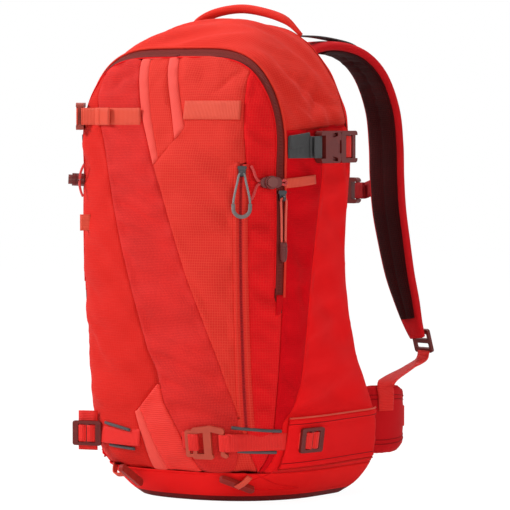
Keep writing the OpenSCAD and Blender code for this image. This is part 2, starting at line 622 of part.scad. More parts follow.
// Ladder lock over a strap's tip, in the tip's own frame: X down the strap, Z out of it
strap_tip = strap_path[len(strap_path) - 1];
tip_dir = tangent(strap_path, len(strap_path) - 1);
tip_turn = atan2(strap_across[0][1], strap_across[0][0]);
tip_tilt = atan2(tip_dir[1], -tip_dir[2]);
tip_lift = strap_t - 1;
lock_plate_l = 30;
lock_plate_t = 4;
module place_tip() {
    translate(strap_tip) rotate([0, 0, tip_turn]) rotate([tip_tilt, 0, 0]) rotate([0, 0, 90])
        rotate([0, 90, 0]) translate([lock_plate_l / 2 - 9, 0, tip_lift]) children();
}
module strap_ladder_locks() {
    color(maroon) both_sides() place_tip() ladder_lock(ski_web_w, lock_plate_l, lock_plate_t);
}
// Webbing from the ladder lock down over the belt wing, sewn to its outer face
tip_out = [tip_dir[0], -tip_dir[2], tip_dir[1]];
wing_sew = 3;        // wing station that carries the webbing
module lower_strap_webbings() {
    start = strap_tip + (lock_plate_l - 12) * tip_dir + (tip_lift - web_t / 2 - 1) * tip_out;
    rim = wing_face(wing_sew, 4) + [0, 0, wing_h / 2 + 3];
    color(red) both_sides() flat_webbing(spline([start, start + [0.5, -8, -11],
        start * 0.5 + rim * 0.5 + [0, -1, -4], rim, wing_face(wing_sew, 2.6) + [0, 0, wing_h / 3],
        wing_face(wing_sew, 2.4) + [0, 0, wing_h / 8]], 3),
        [strap_across[0], [0.8, -0.6, 0], [0.8, 0.5, 0], [0.45, 0.89, 0]], ski_web_w, web_t);
}
// Ladder lock: three bars joined by two cheeks
module ladder_lock(web, l, t) {
    difference() {
        linear_extrude(t) difference() {
            rounded_rect([l, web + 9], 3);
            for (x = [-1, 1]) translate([x * l * 0.2, 0]) rounded_rect([l * 0.22, web + 1.6], 1.2);
        }
        // Thumb grip hollowed across the last bar
        translate([l / 2 - 2.6, 0, t + 1.2]) rotate([90, 0, 0])
            cylinder(r = 2, h = web, center = true);
    }
}
// ---- side-release buckles --------------------------------------------------------
// X is the way the male half leaves, Y the webbing's width, Z out of the bag

function buckle_female_l(web) = 1.65 * web;
function buckle_male_l(web) = 1.35 * web;
buckle_bar = 4;
bar_t = 3.4;
fold_y = bar_t / 2 + 0.3 + web_t / 2;   // leg of a webbing fold beside its bar
socket_t = 4.8;
prong_t = 4;
module buckle_female(web) {
    l = buckle_female_l(web);
    w = web + 12;
    color(maroon) difference() {
        translate([-l / 2, 0, -buckle_t / 2]) linear_extrude(buckle_t) difference() {
            rounded_rect([l, w], 5);
            // Slot behind the webbing bar
            translate([-l / 2 + buckle_bar + 2.6, 0]) rounded_rect([5.2, web + 1.6], 1);
            // Windows over the heads of the prongs
            for (y = [-1, 1]) translate([l / 2 - 13, 0])
                pill([-3.5, y * (web / 2 + 0.5)], [4, y * (web / 2 + 2)], 4.6);
        }
        thin_zone(-l - 1, -l + buckle_bar + 5.2, web);
        translate([-l + 14, -(web + 6) / 2, -socket_t / 2]) cube([l, web + 6, socket_t]);
        // Thumb hollow at the mouth
        translate([1, 0, buckle_t / 2 + 5]) rotate([90, 0, 0])
            cylinder(r = 7, h = web * 0.6, center = true);
    }
}
// Cuts that thin a buckle's bars to bar_t between x0 and x1
module thin_zone(x0, x1, web) {
    for (z = [-1, 1]) translate([(x0 + x1) / 2, 0, z * (bar_t + buckle_t) / 2])
        cube([x1 - x0, web + 1.6, buckle_t], center = true);
}
module buckle_male(web) {
    l = buckle_male_l(web);
    w = web + 12;
    color(maroon) {
        difference() {
            translate([buckle_gap, 0, -buckle_t / 2]) linear_extrude(buckle_t) difference() {
                translate([(l - buckle_gap) / 2, 0]) rounded_rect([l - buckle_gap, w], 4);
                for (x = [l * slot_1, l * slot_2]) translate([x, 0])
                    rounded_rect([l * 0.17, web + 1.6], 1);
            }
            thin_zone(l * (slot_1 - 0.085), l + 1, web);
        }
        // Guide tongue and two sprung prongs with rounded heads
        translate([0, 0, -prong_t / 2]) linear_extrude(prong_t) {
            translate([-13, -2.4]) square([13 + buckle_gap, 4.8]);
            for (y = [-1, 1]) {
                translate([-14, y > 0 ? web / 2 - 3.4 : -web / 2]) square([14 + buckle_gap, 3.4]);
                pill([-16.5, y * (web / 2 - 0.4)], [-10, y * (web / 2 + 0.2)], 4.2);
            }
        }
    }
}
slot_1 = 0.38;   // slots of the male half, as shares of its length
slot_2 = 0.72;
function male_fold_x(web) = slot_2 * buckle_male_l(web) + fold_x;
// Webbing of width web laid along points [x, z] of a frame
module web_run(points, web) {
    rotate([90, 0, 0]) linear_extrude(web, center = true)
        for (i = [1:len(points) - 1]) pill(points[i - 1], points[i], web_t);
}
// Fold of webbing round a bar along Y, its legs towards -X
fold_x = buckle_bar / 2 + 0.3 + web_t / 2;
module web_fold(web, legs = 8) {
    web_run([[-legs, fold_y], [fold_x, fold_y], [fold_x, -fold_y], [-legs, -fold_y]], web);
}
// Tail of webbing threaded through both slots of a male half, out at the foot of its end
function tail_points(l, ends) = concat([[l * slot_1, -fold_y], [l * slot_1, fold_y],
    [l * slot_2, fold_y], [l * slot_2, -fold_y - 0.5]], ends);

// Side compression straps: sewn behind the zip, released towards the back
side_mouth_y = 32;
side_buckle_lift = buckle_t / 2 + web_t + 1.4;
side_web_start_y = zip_back_y + 4;
module place_side_buckle() {
    translate([side_x(side_mouth_y, side_web_z, -side_buckle_lift), side_mouth_y, side_web_z])
        rotate([90, 0, 90]) children();
}
side_bar_y = side_mouth_y - buckle_female_l(side_web_w) + buckle_bar / 2;
module side_webbings() {
    color(grey_web) both_sides() {
        side_strip([for (i = [0:4])
            [side_web_start_y + (side_bar_y - 5 - side_web_start_y) * i / 4, side_web_z]],
            side_web_w, seam_gap, web_t, 1);
        place_side_buckle() translate([side_bar_y - side_mouth_y, 0, 0]) {
            web_fold(side_web_w, 5);
            web_run([[-5, -fold_y], [-9, web_t / 2 + 0.4 - side_buckle_lift]], side_web_w);
        }
    }
}
module side_buckle_females() { both_sides() place_side_buckle() buckle_female(side_web_w); }
module side_buckle_male_right() { place_side_buckle() buckle_male(side_web_w); }
module side_buckle_male_left() { mirror([1, 0, 0]) side_buckle_male_right(); }
side_tail_y = rear_edge_y(side_web_z) - 1;
module side_tail_right() {
    l = buckle_male_l(side_web_w);
    end_x = side_x(side_tail_y, side_web_z) - side_x(side_mouth_y, side_web_z, -side_buckle_lift);
    color(red) place_side_buckle() web_run(tail_points(l, [[l + 2, -fold_y - 1.4],
        [side_tail_y - side_mouth_y, end_x + 1.6]]), side_web_w);
}
module side_tail_left() { mirror([1, 0, 0]) side_tail_right(); }

// Sternum strap across the two shoulder straps, carried by the first station below this
sternum_top_z = sternum_z + 20;
sternum_i = [for (i = [0:len(strap_path) - 1]) if (strap_path[i][2] < sternum_top_z
    && i > len(strap_path) / 3) i][0];
sternum_end = strap_top(sternum_i, 1.3);
sternum_out = sternum_end - 28 * strap_across[0] + [0, 1, 0];   // where it leaves the strap
sternum_y = sternum_out[1] + 3;
// Sternum webbing from the right strap, ending in a fold round a buckle bar at x = bar_x
module sternum_webbing(bar_x) {
    flat_webbing(spline([[sternum_end[0] + 12, sternum_end[1] - 2, sternum_z + 7],
        [sternum_out[0], sternum_out[1], sternum_z + 5],
        [bar_x + 9, sternum_y + fold_y, sternum_z], [bar_x + 3, sternum_y + fold_y, sternum_z]], 3),
        [0, 0, 1], ski_web_w, web_t);
    translate([bar_x, sternum_y, sternum_z]) rotate([-90, 180, 0]) web_fold(ski_web_w);
}
module sternum_webbing_right() {
    color(deep_red) sternum_webbing(buckle_female_l(ski_web_w) - buckle_bar / 2);
}
module sternum_webbing_left() {
    color(deep_red) mirror([1, 0, 0]) sternum_webbing(male_fold_x(ski_web_w));
}
// The male half of a buckle across the back leaves towards -X
module across_back(y, z) { translate([0, y, z]) rotate([-90, 180, 0]) children(); }
module sternum_buckle_female() { across_back(sternum_y, sternum_z) buckle_female(ski_web_w); }
module sternum_buckle_male() { across_back(sternum_y, sternum_z) buckle_male(ski_web_w); }
module belt_buckle_female() { across_back(belt_buckle_y, belt_z) buckle_female(belt_web_w); }
module belt_buckle_male() { across_back(belt_buckle_y, belt_z) buckle_male(belt_web_w); }

// Haul handle: a padded loop sewn into the rear seam of the hood
handle_y = 74;
handle_x = 79;
handle_r = 2.8;     // round ends of the handle
handle_z = top_z(handle_x, handle_y) + handle_r + 0.4;
handle_route = [[-handle_x, 0], [-72, 15], [-46, 27], [-8, 32], [28, 27], [58, 17], [handle_x, 0]];
module haul_handle() {
    path = spline([for (p = handle_route) [p[0], handle_y, handle_z + p[1]]], 3);
    color(red) padded_strap(path, [for (p = path) [0, 1, 0]],
        [[0, 5], [0.08, 8], [0.22, 17], [0.78, 17], [0.92, 8], [1, 5]],
        [[0, 5], [0.08, 6], [0.22, 10], [0.78, 10], [0.92, 6], [1, 5]]);
}

// ---- front webbing -------------------------------------------------------------

// Band on the skin at height z between two angles of the section, 0 in front and 90 at the side
module skin_band(a0, a1, z, w, lift, t, n, cols = 2) {
    grid = function(d) [for (i = [0:n])
        [for (c = [0:cols]) front_point(a0 + (a1 - a0) * i / n, z + (0.5 - c / cols) * w, -d)]];
    slab(grid(lift + t), grid(lift));
}

// Upper ski strap: from the middle seam to a buckle at the left corner, all on the flap
ski_seam_x = 45;
keeper_x = 98;
ski_chord = 11.53;                               // depth of the corner that the buckle spans
// The buckle's face, from -X towards -Y
ski_turn = atan2(side_x(zip_y, upper_ski_z) - side_x(zip_y - ski_chord, upper_ski_z), ski_chord);
ski_reach = buckle_female_l(ski_web_w) - buckle_bar / 2;
ski_out = [-cos(ski_turn), -sin(ski_turn), 0];
ski_dir = [-sin(ski_turn), cos(ski_turn), 0];    // the way the male half leaves
ski_mouth = [-side_x(zip_y, upper_ski_z), zip_y, upper_ski_z] + (buckle_t / 2 + 2.2) * ski_out
    + 3 * ski_dir;
module place_ski_buckle() {
    translate(ski_mouth) rotate([90, 0, ski_turn - 90]) rotate([0, 0, 180]) children();
}
module upper_ski_strap() {
    web_x0 = ski_seam_x;
    web_x1 = keeper_x + 8;
    bar = ski_mouth - ski_reach * ski_dir;
    color(coral) {
        mirror([1, 0, 0]) front_strip([for (i = [0:6])
            [web_x0 + (web_x1 - web_x0) * i / 6, upper_ski_z]], ski_web_w, seam_gap, web_t, 2);
        // Elastic keeper round the folded end
        mirror([1, 0, 0]) place_front(keeper_x, upper_ski_z, seam_gap + web_t + 0.2)
            linear_extrude(3.4) rounded_rect([26, ski_web_w + 2.4], 1);
        flat_webbing([[-web_x1, face_y(web_x1, upper_ski_z) - web_t / 2 - 0.5, upper_ski_z],
            bar - 10 * ski_dir - fold_y * ski_out, bar - 4 * ski_dir - fold_y * ski_out],
            [0, 0, 1], ski_web_w, web_t);
        place_ski_buckle() translate([-ski_reach, 0, 0]) web_fold(ski_web_w, 5);
    }
}
module ski_buckle_female() { place_ski_buckle() buckle_female(ski_web_w); }
module ski_buckle_male() { place_ski_buckle() buckle_male(ski_web_w); }
// Short end of webbing that stays on the male half
module ski_tail() {
    l = buckle_male_l(ski_web_w);
    color(coral) place_ski_buckle() web_run(tail_points(l, [[l + 2, -fold_y], [l + 8, -1]]),
        ski_web_w);
}

// Tool holders on both edges of the flap: a cord lock pressed along its own axis
lock_z = 371;
lock_setback = 6.1;   // from the middle of a lock back to the zip
lock_x = side_x(zip_front_y - lock_setback, lock_z);
lock_l = 14;
lock_lift = 0.5;
plunger_travel = 3.5;
plunger_gap = 0.15;
plunger_r = lock_d / 2 - 1.8;
strand_y = bungee_d / 2 + 0.25;   // the two strands run side by side
hole_d = bungee_d + 0.6;
hole_h = 5.6;                     // height of the strands above the lock's foot
module tool_lock() {
    difference() {
        union() {
            cylinder(d = lock_d, h = lock_l);
            linear_extrude(9) pill([-6, 0], [7, 0], 12);
        }
        translate([0, 0, 2]) cylinder(r = plunger_r + plunger_gap, h = lock_l);
        for (y = [-strand_y, strand_y]) translate([0, y, hole_h]) rotate([0, 90, 0])
            cylinder(d = hole_d, h = 2 * lock_d, center = true);
    }
}
module tool_locks() { color(maroon) both_sides() place_front(lock_x, lock_z, lock_lift) tool_lock(); }
// The window across the plunger lets it travel past the strands
module tool_plunger() {
    window_h = hole_d + plunger_travel + 0.4;
    color("#57504f") difference() {
        translate([0, 0, 2.2 + plunger_travel]) cylinder(r = plunger_r, h = lock_l - 1.2);
        translate([0, 0, hole_h + window_h / 2 - hole_d / 2 - 0.2])
            cube([lock_d, 2 * strand_y + hole_d, window_h], center = true);
    }
}
module tool_plunger_right() { place_front(lock_x, lock_z, lock_lift) tool_plunger(); }
module tool_plunger_left() { mirror([1, 0, 0]) tool_plunger_right(); }
// Elastic loop in the lock's frame: sewn end, through the lock, round the tab and back
bungee_half = [[-21, 19, 1.5], [-19, 13.5, 4], [-16.8, 6, 5.8], [-13.8, 1.9, 5.6], [-7, 1.75, 5.6],
    [0, 1.75, 5.6], [7, 1.75, 5.6], [14.2, 1.8, 5.5], [16.8, 2.6, 3.4], [18.8, 2, 1.8], [20, 0, 1.6]];
bungee_route = concat(bungee_half, [for (i = [len(bungee_half) - 2:-1:0])
    [bungee_half[i][0], -bungee_half[i][1], bungee_half[i][2]]]);
module tool_bungee_right() {
    color("#d4383a") place_front(lock_x, lock_z, lock_lift) cord(spline(bungee_route, 1), bungee_d);
}
module tool_bungee_left() { mirror([1, 0, 0]) tool_bungee_right(); }
tab_w = 11;
tab_lift = 0.6;   // the tab lies over the zip and the hood, held by the elastic
module tool_tabs() {
    color(coral) both_sides() side_strip([for (i = [0:4])
        [zip_front_y + 8.5 + 11.4 * i, lock_z - 1 + i]], tab_w, tab_lift, 2.2, 1);
}

// Lower ski strap and its hook, in the hook's frame: X along the front, Y up
hook_x = 66;
hook_lift = 3.6;
arm_x = hook_l / 2 - 6;
bar_x = -hook_l / 2 + 12;
hook_bar = 5;
module place_hook() { place_front(hook_x, lower_ski_z, hook_lift) children(); }
module g_hook() {
    t = hook_h / 2;
    low = -t + 3.2;
    color(copper_red) place_hook() linear_extrude(hook_t) {
        // Arched top bar
        pill([bar_x, t - 6.5], [6, t - 3.5], 7);
        pill([6, t - 3.5], [arm_x, t - 6], 7);
        // Bar of the closed slot, outer end, foot and stem
        pill([bar_x, t - 8], [bar_x, low], hook_bar);
        pill([bar_x - 9, t - 9], [bar_x - 9, low + 2], hook_bar);
        for (y = [t - 8, low + 1]) pill([bar_x - 9, y], [bar_x, y], 4);
        pill([bar_x, low], [5, low], 6.4);
        translate([-3, low]) square([9.5, 2 * t - 8]);
        // Open arm, its tip flared outwards
        pill([arm_x, t - 6], [arm_x, low + 3], hook_bar);
        pill([arm_x, low + 3], [arm_x + 3.5, low + 1.6], 5.4);
    }
}
// Point in the hook's frame: a along the front, b out from the middle of the plate
hook_turn = front_turn(hook_x, lower_ski_z);
function hook_point(a, b) = [hook_x, face_y(hook_x, lower_ski_z, -hook_lift), lower_ski_z]
    + a * [cos(hook_turn), sin(hook_turn), 0]
    + (b + hook_t / 2) * [sin(hook_turn), -cos(hook_turn), 0];
hook_out = hook_t / 2 + 0.4 + web_t / 2;   // leg of the webbing beside the plate
// Webbing folded round an upright bar of the hook, legs running towards -X
module hook_fold(legs) {
    bend = hook_bar / 2 + 0.4 + web_t / 2;
    translate([0, 0, hook_t / 2]) web_run([[-legs, hook_out], [bend, hook_out],
        [bend, -hook_out], [-legs, -hook_out]], ski_web_w);
}
module hook_webbing() {
    color(red) {
        place_hook() translate([bar_x, 0, 0]) hook_fold(7);
        place_hook() translate([bar_x, 0, hook_t / 2])
            web_run([[-7, -hook_out], [-18, -hook_out - 3.6]], ski_web_w);
    }
}
// Fixed webbing: the left run, the right run and the fold that the hook's arm sits in
left_band = [-62, -22];
right_band = [36, 70];
module lower_ski_strap() {
    z = lower_ski_z;
    lift = seam_gap + web_t / 2;
    color(red) {
        skin_band(left_band[0], left_band[1], z, ski_web_w, seam_gap, web_t, 6);
        skin_band(right_band[0], right_band[1], z, ski_web_w, seam_gap, web_t, 8);
        place_hook() translate([arm_x, 0, 0]) mirror([1, 0, 0]) hook_fold(10);
        flat_webbing([hook_point(arm_x + 9, -hook_out), hook_point(arm_x + 15, -hook_out - 1),
            [108, face_y(108, z, -lift - 0.6), z], [112, face_y(112, z, -lift - 0.4), z]],
            [0, 0, 1], ski_web_w, web_t);
    }
}
loop_lift = 2.6;     // the side loops stand off the strap under them
loop_path = [for (i = [0:7]) [-38 + 24 * i, lower_ski_z - 2, loop_lift * max(1 - i / 5, 0)]];
ring_l = 36;
ring_t = 3.2;
ring_gap = 0.5;          // between a ring and the loop under it
left_ring_x = 112;
left_ring_out = 20.22;   // the left ring hangs this far ahead of the front
left_ring_turn = 14;
module ring() { ladder_lock(ski_web_w, ring_l, ring_t); }
module ski_strap_rings() {
    color(maroon) {
        place_side(-8, lower_ski_z, loop_path[1][2] + seam_gap + web_t + ring_gap) ring();
        translate([-left_ring_x, face_y(left_ring_x, lower_ski_z) - left_ring_out, lower_ski_z])
            rotate([90, 0, left_ring_turn]) ring();
    }
}
module side_ski_loops() {
    color(red) both_sides() side_strip(loop_path, loop_w, seam_gap, web_t, 4);
}

// Toggles at the foot of the bag, each held by a short tab of webbing
toggle_x = 83;
toggle_z = 25;
toggle_lift = 1.8;
toggle_l = 46;
toggle_w = 9;
toggle_t = 5;
left_toggle = [-44, face_y(44, 29) - 16.3, 29];
left_toggle_lean = 59;
module toggle_bar() {
    difference() {
        linear_extrude(toggle_t) pill([-toggle_l / 2 + toggle_w / 2, 0],
            [toggle_l / 2 - toggle_w / 2, 0], toggle_w);
        for (x = [-1, 1], y = [-1, 0, 1]) translate([x * toggle_l * 0.3, y * 2.4, toggle_t])
            rotate([0, 90, 0]) cylinder(r = 0.6, h = toggle_l * 0.3, center = true);
    }
}
module toggle_bars() {
    color(maroon) {
        place_front(toggle_x, toggle_z, toggle_lift) rotate(-34) toggle_bar();
        translate(left_toggle) rotate([left_toggle_lean, 0, 0]) rotate([0, 90, 0])
            translate([0, 0, -toggle_t / 2]) toggle_bar();
    }
}
module toggle_tabs() {
    color(coral) {
        place_front(toggle_x, toggle_z, toggle_lift) rotate(44) translate([9, 0, 0])
            web_run([[-10, toggle_t + 1.2], [3, toggle_t + 1.2], [12, 1.2]], 8);
        flat_webbing(spline([[-84, face_y(84, 37) - 1.6, 37], [-66, left_toggle[1] - 1, 29],
            left_toggle + [-9, 0, 0.6], left_toggle + [-toggle_t / 2 - 0.5, 0, 0]], 3),
            [0, -0.85, 0.5], 8, web_t);
    }
}

// ---- drawing ----------------------------------------------------------------

boot();
side_panel_right();
side_panel_left();
hood();
front_lower_panel();
back_panel();
lumbar_pad();
back_pads();
frame_sheet();
frame_stay();
front_flap();
arch_zip();
arch_slider();
arch_pull_cord();
arch_pull_end();
pocket_zip_upper();
pocket_zip_lower();
pocket_slider();
pocket_pull_cord();
pocket_pull_end();
shoulder_strap_right();
shoulder_strap_left();
strap_linings();
load_lifters();
lower_strap_webbings();
strap_ladder_locks();
sternum_webbing_right();
sternum_webbing_left();
sternum_buckle_female();
sternum_buckle_male();
belt_wing_right();
belt_wing_left();
belt_webbing_right();
belt_webbing_left();
belt_buckle_female();
belt_buckle_male();
haul_handle();
side_webbings();
side_buckle_females();
side_buckle_male_right();
side_buckle_male_left();
side_tail_right();
side_tail_left();
upper_ski_strap();
ski_buckle_female();
ski_buckle_male();
tool_locks();
tool_plunger_right();
tool_plunger_left();
tool_bungee_right();
tool_bungee_left();
tool_tabs();
hook_webbing();
g_hook();
ski_tail();
lower_ski_strap();
ski_strap_rings();
side_ski_loops();
toggle_bars();
toggle_tabs();
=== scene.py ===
import math
import time

import bpy
import numpy as np
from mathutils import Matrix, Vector


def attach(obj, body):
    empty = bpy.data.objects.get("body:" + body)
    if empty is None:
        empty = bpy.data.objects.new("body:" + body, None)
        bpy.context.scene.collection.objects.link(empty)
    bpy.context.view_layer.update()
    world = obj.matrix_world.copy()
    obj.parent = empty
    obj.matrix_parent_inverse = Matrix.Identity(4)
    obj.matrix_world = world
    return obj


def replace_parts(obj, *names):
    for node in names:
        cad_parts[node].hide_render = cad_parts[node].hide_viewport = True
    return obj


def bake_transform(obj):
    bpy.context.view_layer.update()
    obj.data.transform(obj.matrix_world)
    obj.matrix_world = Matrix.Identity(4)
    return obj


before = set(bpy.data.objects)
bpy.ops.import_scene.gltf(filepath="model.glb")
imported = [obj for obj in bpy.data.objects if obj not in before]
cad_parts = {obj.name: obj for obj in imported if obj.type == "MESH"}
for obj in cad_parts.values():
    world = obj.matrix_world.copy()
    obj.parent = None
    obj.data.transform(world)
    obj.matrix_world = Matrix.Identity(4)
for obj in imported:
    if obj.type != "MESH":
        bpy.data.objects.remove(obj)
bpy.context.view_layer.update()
root = "pack"
flap = "front_flap"


# camera

view = {"azimuth": 35.0, "elevation": 2.5, "distance": 4.0, "lens": 240.0, "target": (0.0434, 0.0304, 0.283)}


def makeCamera():
    a, e = math.radians(view["azimuth"]), math.radians(view["elevation"])
    target = np.array(view["target"])
    away = np.array([math.sin(a) * math.cos(e), -math.cos(a) * math.cos(e), math.sin(e)])
    data = bpy.data.cameras.new("camera")
    data.lens, data.sensor_width, data.clip_end = view["lens"], 36.0, 50.0
    camera = bpy.data.objects.new("camera", data)
    bpy.context.collection.objects.link(camera)
    camera.location = target + view["distance"] * away
    camera.rotation_euler = Vector(-away).to_track_quat("-Z", "Y").to_euler()
    bpy.context.scene.camera = camera


makeCamera()


# form of the bag, in millimetres

bag = {"height": 560, "width": 308, "front": 105, "back": 158, "dome": 372, "round": 2.3, "square": 7,
       "boot": 36, "fold": 240, "crest": 520, "zip": 9, "rearSeam": 16,
       "rearFlat": 500}
widthLine = [(0, 0.72), (0.03, 0.81), (0.11, 0.92), (0.2, 0.965), (0.3, 0.975), (0.5, 0.98), (0.78, 0.99), (1, 1)]
frontLine = [(0, -0.5), (0.011, -0.58), (0.032, -0.7), (0.071, -0.86), (0.136, -0.95), (0.2, -0.99), (0.32, -1),
             (0.52, -1.01), (0.664, -1), (0.725, -0.94), (0.786, -0.87), (0.85, -0.79), (0.893, -0.7),
             (0.929, -0.552), (0.955, -0.4), (0.977, -0.2), (1, 0.2)]
backLine = [(0, 0.81), (0.011, 0.86), (0.032, 0.94), (0.071, 1), (0.136, 0.98), (0.2, 0.9), (0.241, 0.81),
            (0.284, 0.71), (0.325, 0.645), (0.368, 0.595), (0.41, 0.55), (0.452, 0.52), (0.514, 0.5),
            (0.577, 0.507), (0.664, 0.544), (0.766, 0.57), (0.85, 0.57), (0.914, 0.545), (0.955, 0.52),
            (0.977, 0.48), (1, 0.38)]


def smoothTable(table, x):
    t = np.array(table, float)
    v = np.clip(np.asarray(x, float), t[0, 0], t[-1, 0])
    i = np.clip(np.searchsorted(t[:, 0], v, side="right") - 1, 0, len(t) - 2)
    before, after = np.maximum(np.arange(len(t)) - 1, 0), np.minimum(np.arange(len(t)) + 1, len(t) - 1)
    slope = (t[after, 1] - t[before, 1]) / (t[after, 0] - t[before, 0])
    w = t[i + 1, 0] - t[i, 0]
    s = (v - t[i, 0]) / w
    return ((2 * s**3 - 3 * s**2 + 1) * t[i, 1] + (s**3 - 2 * s**2 + s) * w * slope[i]
            + (3 * s**2 - 2 * s**3) * t[i + 1, 1] + (s**3 - s**2) * w * slope[i + 1])


def lineTable(table):  # a seam drawn as (height, place) pairs, straight between them
    t = sorted(table)
    return lambda z: np.interp(z, [p[0] for p in t], [p[1] for p in t])


def ease(s):
    v = np.clip(s, 0, 1)
    return v * v * (3 - 2 * v)


def rounded(share, n):  # 1 in the middle of a superellipse, 0 at its rim
    return np.maximum(1 - np.clip(share, 0, 1) ** n, 0) ** (1 / n)


def halfW(z, d=0.0):  # half width of the bag at a height, d inside its skin
    z = np.asarray(z, float)
    dome = rounded(np.maximum(z - bag["dome"], 0) / (bag["height"] - bag["dome"] - d), bag["round"])
    return np.where(z <= bag["dome"], bag["width"] / 2 * smoothTable(widthLine, z / bag["dome"]) - d,
                    (bag["width"] / 2 - d) * dome)


def frontY(z, d=0.0):
    return bag["front"] * smoothTable(frontLine, np.asarray(z, float) / bag["height"]) + d


def backY(z, d=0.0):
    return bag["back"] * smoothTable(backLine, np.asarray(z, float) / bag["height"]) - d


def midY(z):
    return 0.38 * frontY(z) + 0.62 * backY(z)


def frontN(z):
    return 2.3 + 0.6 * ease(np.asarray(z) / (2 * bag["boot"])) + 1.9 * ease((np.asarray(z) - bag["dome"]) / 100)


def depthShare(y, z, d=0.0):
    m = midY(z)
    return np.where(y < m, (y - m) / (frontY(z, d) - m), (y - m) / (backY(z, d) - m))


def cornerN(y, z):
    return np.where(y < midY(z), frontN(z), bag["square"])


def sideX(y, z, d=0.0):
    return halfW(z, d) * rounded(depthShare(y, z, d), cornerN(y, z))


def skinY(x, z, d, edgeY, n):
    m = midY(z)
    return m + (edgeY(z, d) - m) * rounded(np.abs(x) / np.maximum(halfW(z, d), 0.01), n)


def faceY(x, z, d=0.0):
    return skinY(x, z, d, frontY, frontN(z))


def rearY(x, z):
    return skinY(x, z, 0.0, backY, bag["square"])


def skinPoint(a, z, d, edgeY, n):  # a in radians from the middle line out to the side
    m = midY(z)
    return np.stack(np.broadcast_arrays(np.sign(a) * halfW(z, d) * np.abs(np.sin(a)) ** (2 / n),
                                        m + (edgeY(z, d) - m) * np.maximum(np.cos(a), 0) ** (2 / n), z), -1)


def frontPoint(a, z, d=0.0):
    return skinPoint(a, z, d, frontY, frontN(z))


def backPoint(a, z, d=0.0):
    return skinPoint(a, z, d, backY, bag["square"])


def onFront(x, z, lift):
    return np.stack(np.broadcast_arrays(x, faceY(x, z) - lift, z), -1)


def onSide(y, z, lift=0.0):
    return np.stack(np.broadcast_arrays(sideX(y, z) + lift, y, z), -1)


def reachAngle(y, z):
    return np.arccos(np.clip(depthShare(y, z), 0, 1) ** (cornerN(y, z) / 2))


def angleAt(x, z):
    return np.sign(x) * np.arcsin(np.clip(np.abs(x) / np.maximum(halfW(z), 0.01), 0, 1) ** (frontN(z) / 2))


def domePoint(t, y, d=0.0):  # t in radians from the right side over the top
    t, y = np.broadcast_arrays(np.asarray(t, float), np.asarray(y, float))
    u = np.where(t > math.pi / 2, math.pi - t, t)
    low, high = np.zeros_like(u), np.full_like(u, 400.0)
    for _ in range(22):
        r = (low + high) / 2
        x, z = r * np.cos(u), bag["dome"] + r * np.sin(u)
        w, c, n = halfW(z, d), depthShare(y, z, d), cornerN(y, z)
        inside = (w > 0.01) & (c < 1) & ((x / np.maximum(w, 0.01)) ** n + np.clip(c, 0, 1) ** n < 1)
        low, high = np.where(inside, r, low), np.where(inside, high, r)
    return np.stack([low * np.cos(t), y, bag["dome"] + low * np.sin(u)], -1)


zipY = float(frontY(bag["crest"]))
zipFrontY, zipBackY = zipY - bag["zip"] / 2, zipY + bag["zip"] / 2


def rearEdgeY(z):
    return backY(np.minimum(z, bag["rearFlat"])) - bag["rearSeam"]


domeEdgeY = float(rearEdgeY(bag["dome"]))


# frames for hardware, as in the frame's own construction

def turn(ax, ay, az):
    def about(i, j, angle):
        m = np.eye(4)
        c, s = math.cos(math.radians(angle)), math.sin(math.radians(angle))
        m[i, i], m[i, j], m[j, i], m[j, j] = c, -s, s, c
        return m
    return about(0, 1, az) @ about(2, 0, ay) @ about(1, 2, ax)


def shift(x, y, z):
    m = np.eye(4)
    m[:3, 3] = x, y, z
    return m


def frontTurn(x, z):
    return math.degrees(math.atan2(faceY(x + 0.5, z) - faceY(x - 0.5, z), 1))


def placeFront(x, z, lift):
    lean = math.degrees(math.atan2(faceY(x, z - 1) - faceY(x, z + 1), 2))
    return shift(x, float(faceY(x, z, -lift)), z) @ turn(90, 0, frontTurn(x, z)) @ turn(lean, 0, 0)


def placeSide(y, z, lift):
    lean = math.degrees(math.atan2(sideX(y, z + 1) - sideX(y, z - 1), 2))
    turned = math.degrees(math.atan2(sideX(y + 0.5, z) - sideX(y - 0.5, z), 1))
    return shift(float(sideX(y, z, -lift)), y, z) @ turn(90, 0, 90 - turned) @ turn(lean, 0, 0)


def put(m, points):
    p = np.atleast_2d(np.array(points, float))
    return p @ m[:3, :3].T + m[:3, 3]


mirrorX = np.diag([-1.0, 1, 1, 1])
bothSides = (("Right", np.eye(4)), ("Left", mirrorX))


# meshes

webThick = 1.6
webWidth = {"lower": 20, "lifter": 20, "shoulder": 20, "ring": 19.4, "toggle": 8, "tool": 11, "gear": 13}


def spline(points, k):  # k steps to each point, the same curve as the frame's cords have
    p = np.array(points, float)
    n = len(p) - 1
    out = []
    for j in range(n * k + 1):
        i = min(j // k, n - 1)
        s = j / k - i
        a, b, c, d = p[max(i - 1, 0)], p[i], p[i + 1], p[min(i + 2, n)]
        out.append(b + (c - a) * s / 2 + (2 * a - 5 * b + 4 * c - d) * s**2 / 2 + (3 * b - 3 * c + d - a) * s**3 / 2)
    return np.array(out)


def softened(points, times=2):  # rounds the corners of a folded path and keeps its ends
    p = np.array(points, float)
    for _ in range(times):
        q = np.empty((2 * len(p) - 2, 3))
        q[0::2], q[1::2] = 0.75 * p[:-1] + 0.25 * p[1:], 0.25 * p[:-1] + 0.75 * p[1:]
        p = np.vstack([p[:1], q, p[-1:]])
    return p


def lengths(p):  # distance along a path at each of its points
    return np.r_[0, np.cumsum(np.linalg.norm(np.diff(p, axis=0), axis=1))]


def resampled(points, step):
    p = np.array(points, float)
    s = lengths(p)
    at = np.linspace(0, s[-1], max(int(round(s[-1] / step)), 2) + 1)
    return np.stack([np.interp(at, s, p[:, k]) for k in range(3)], -1)


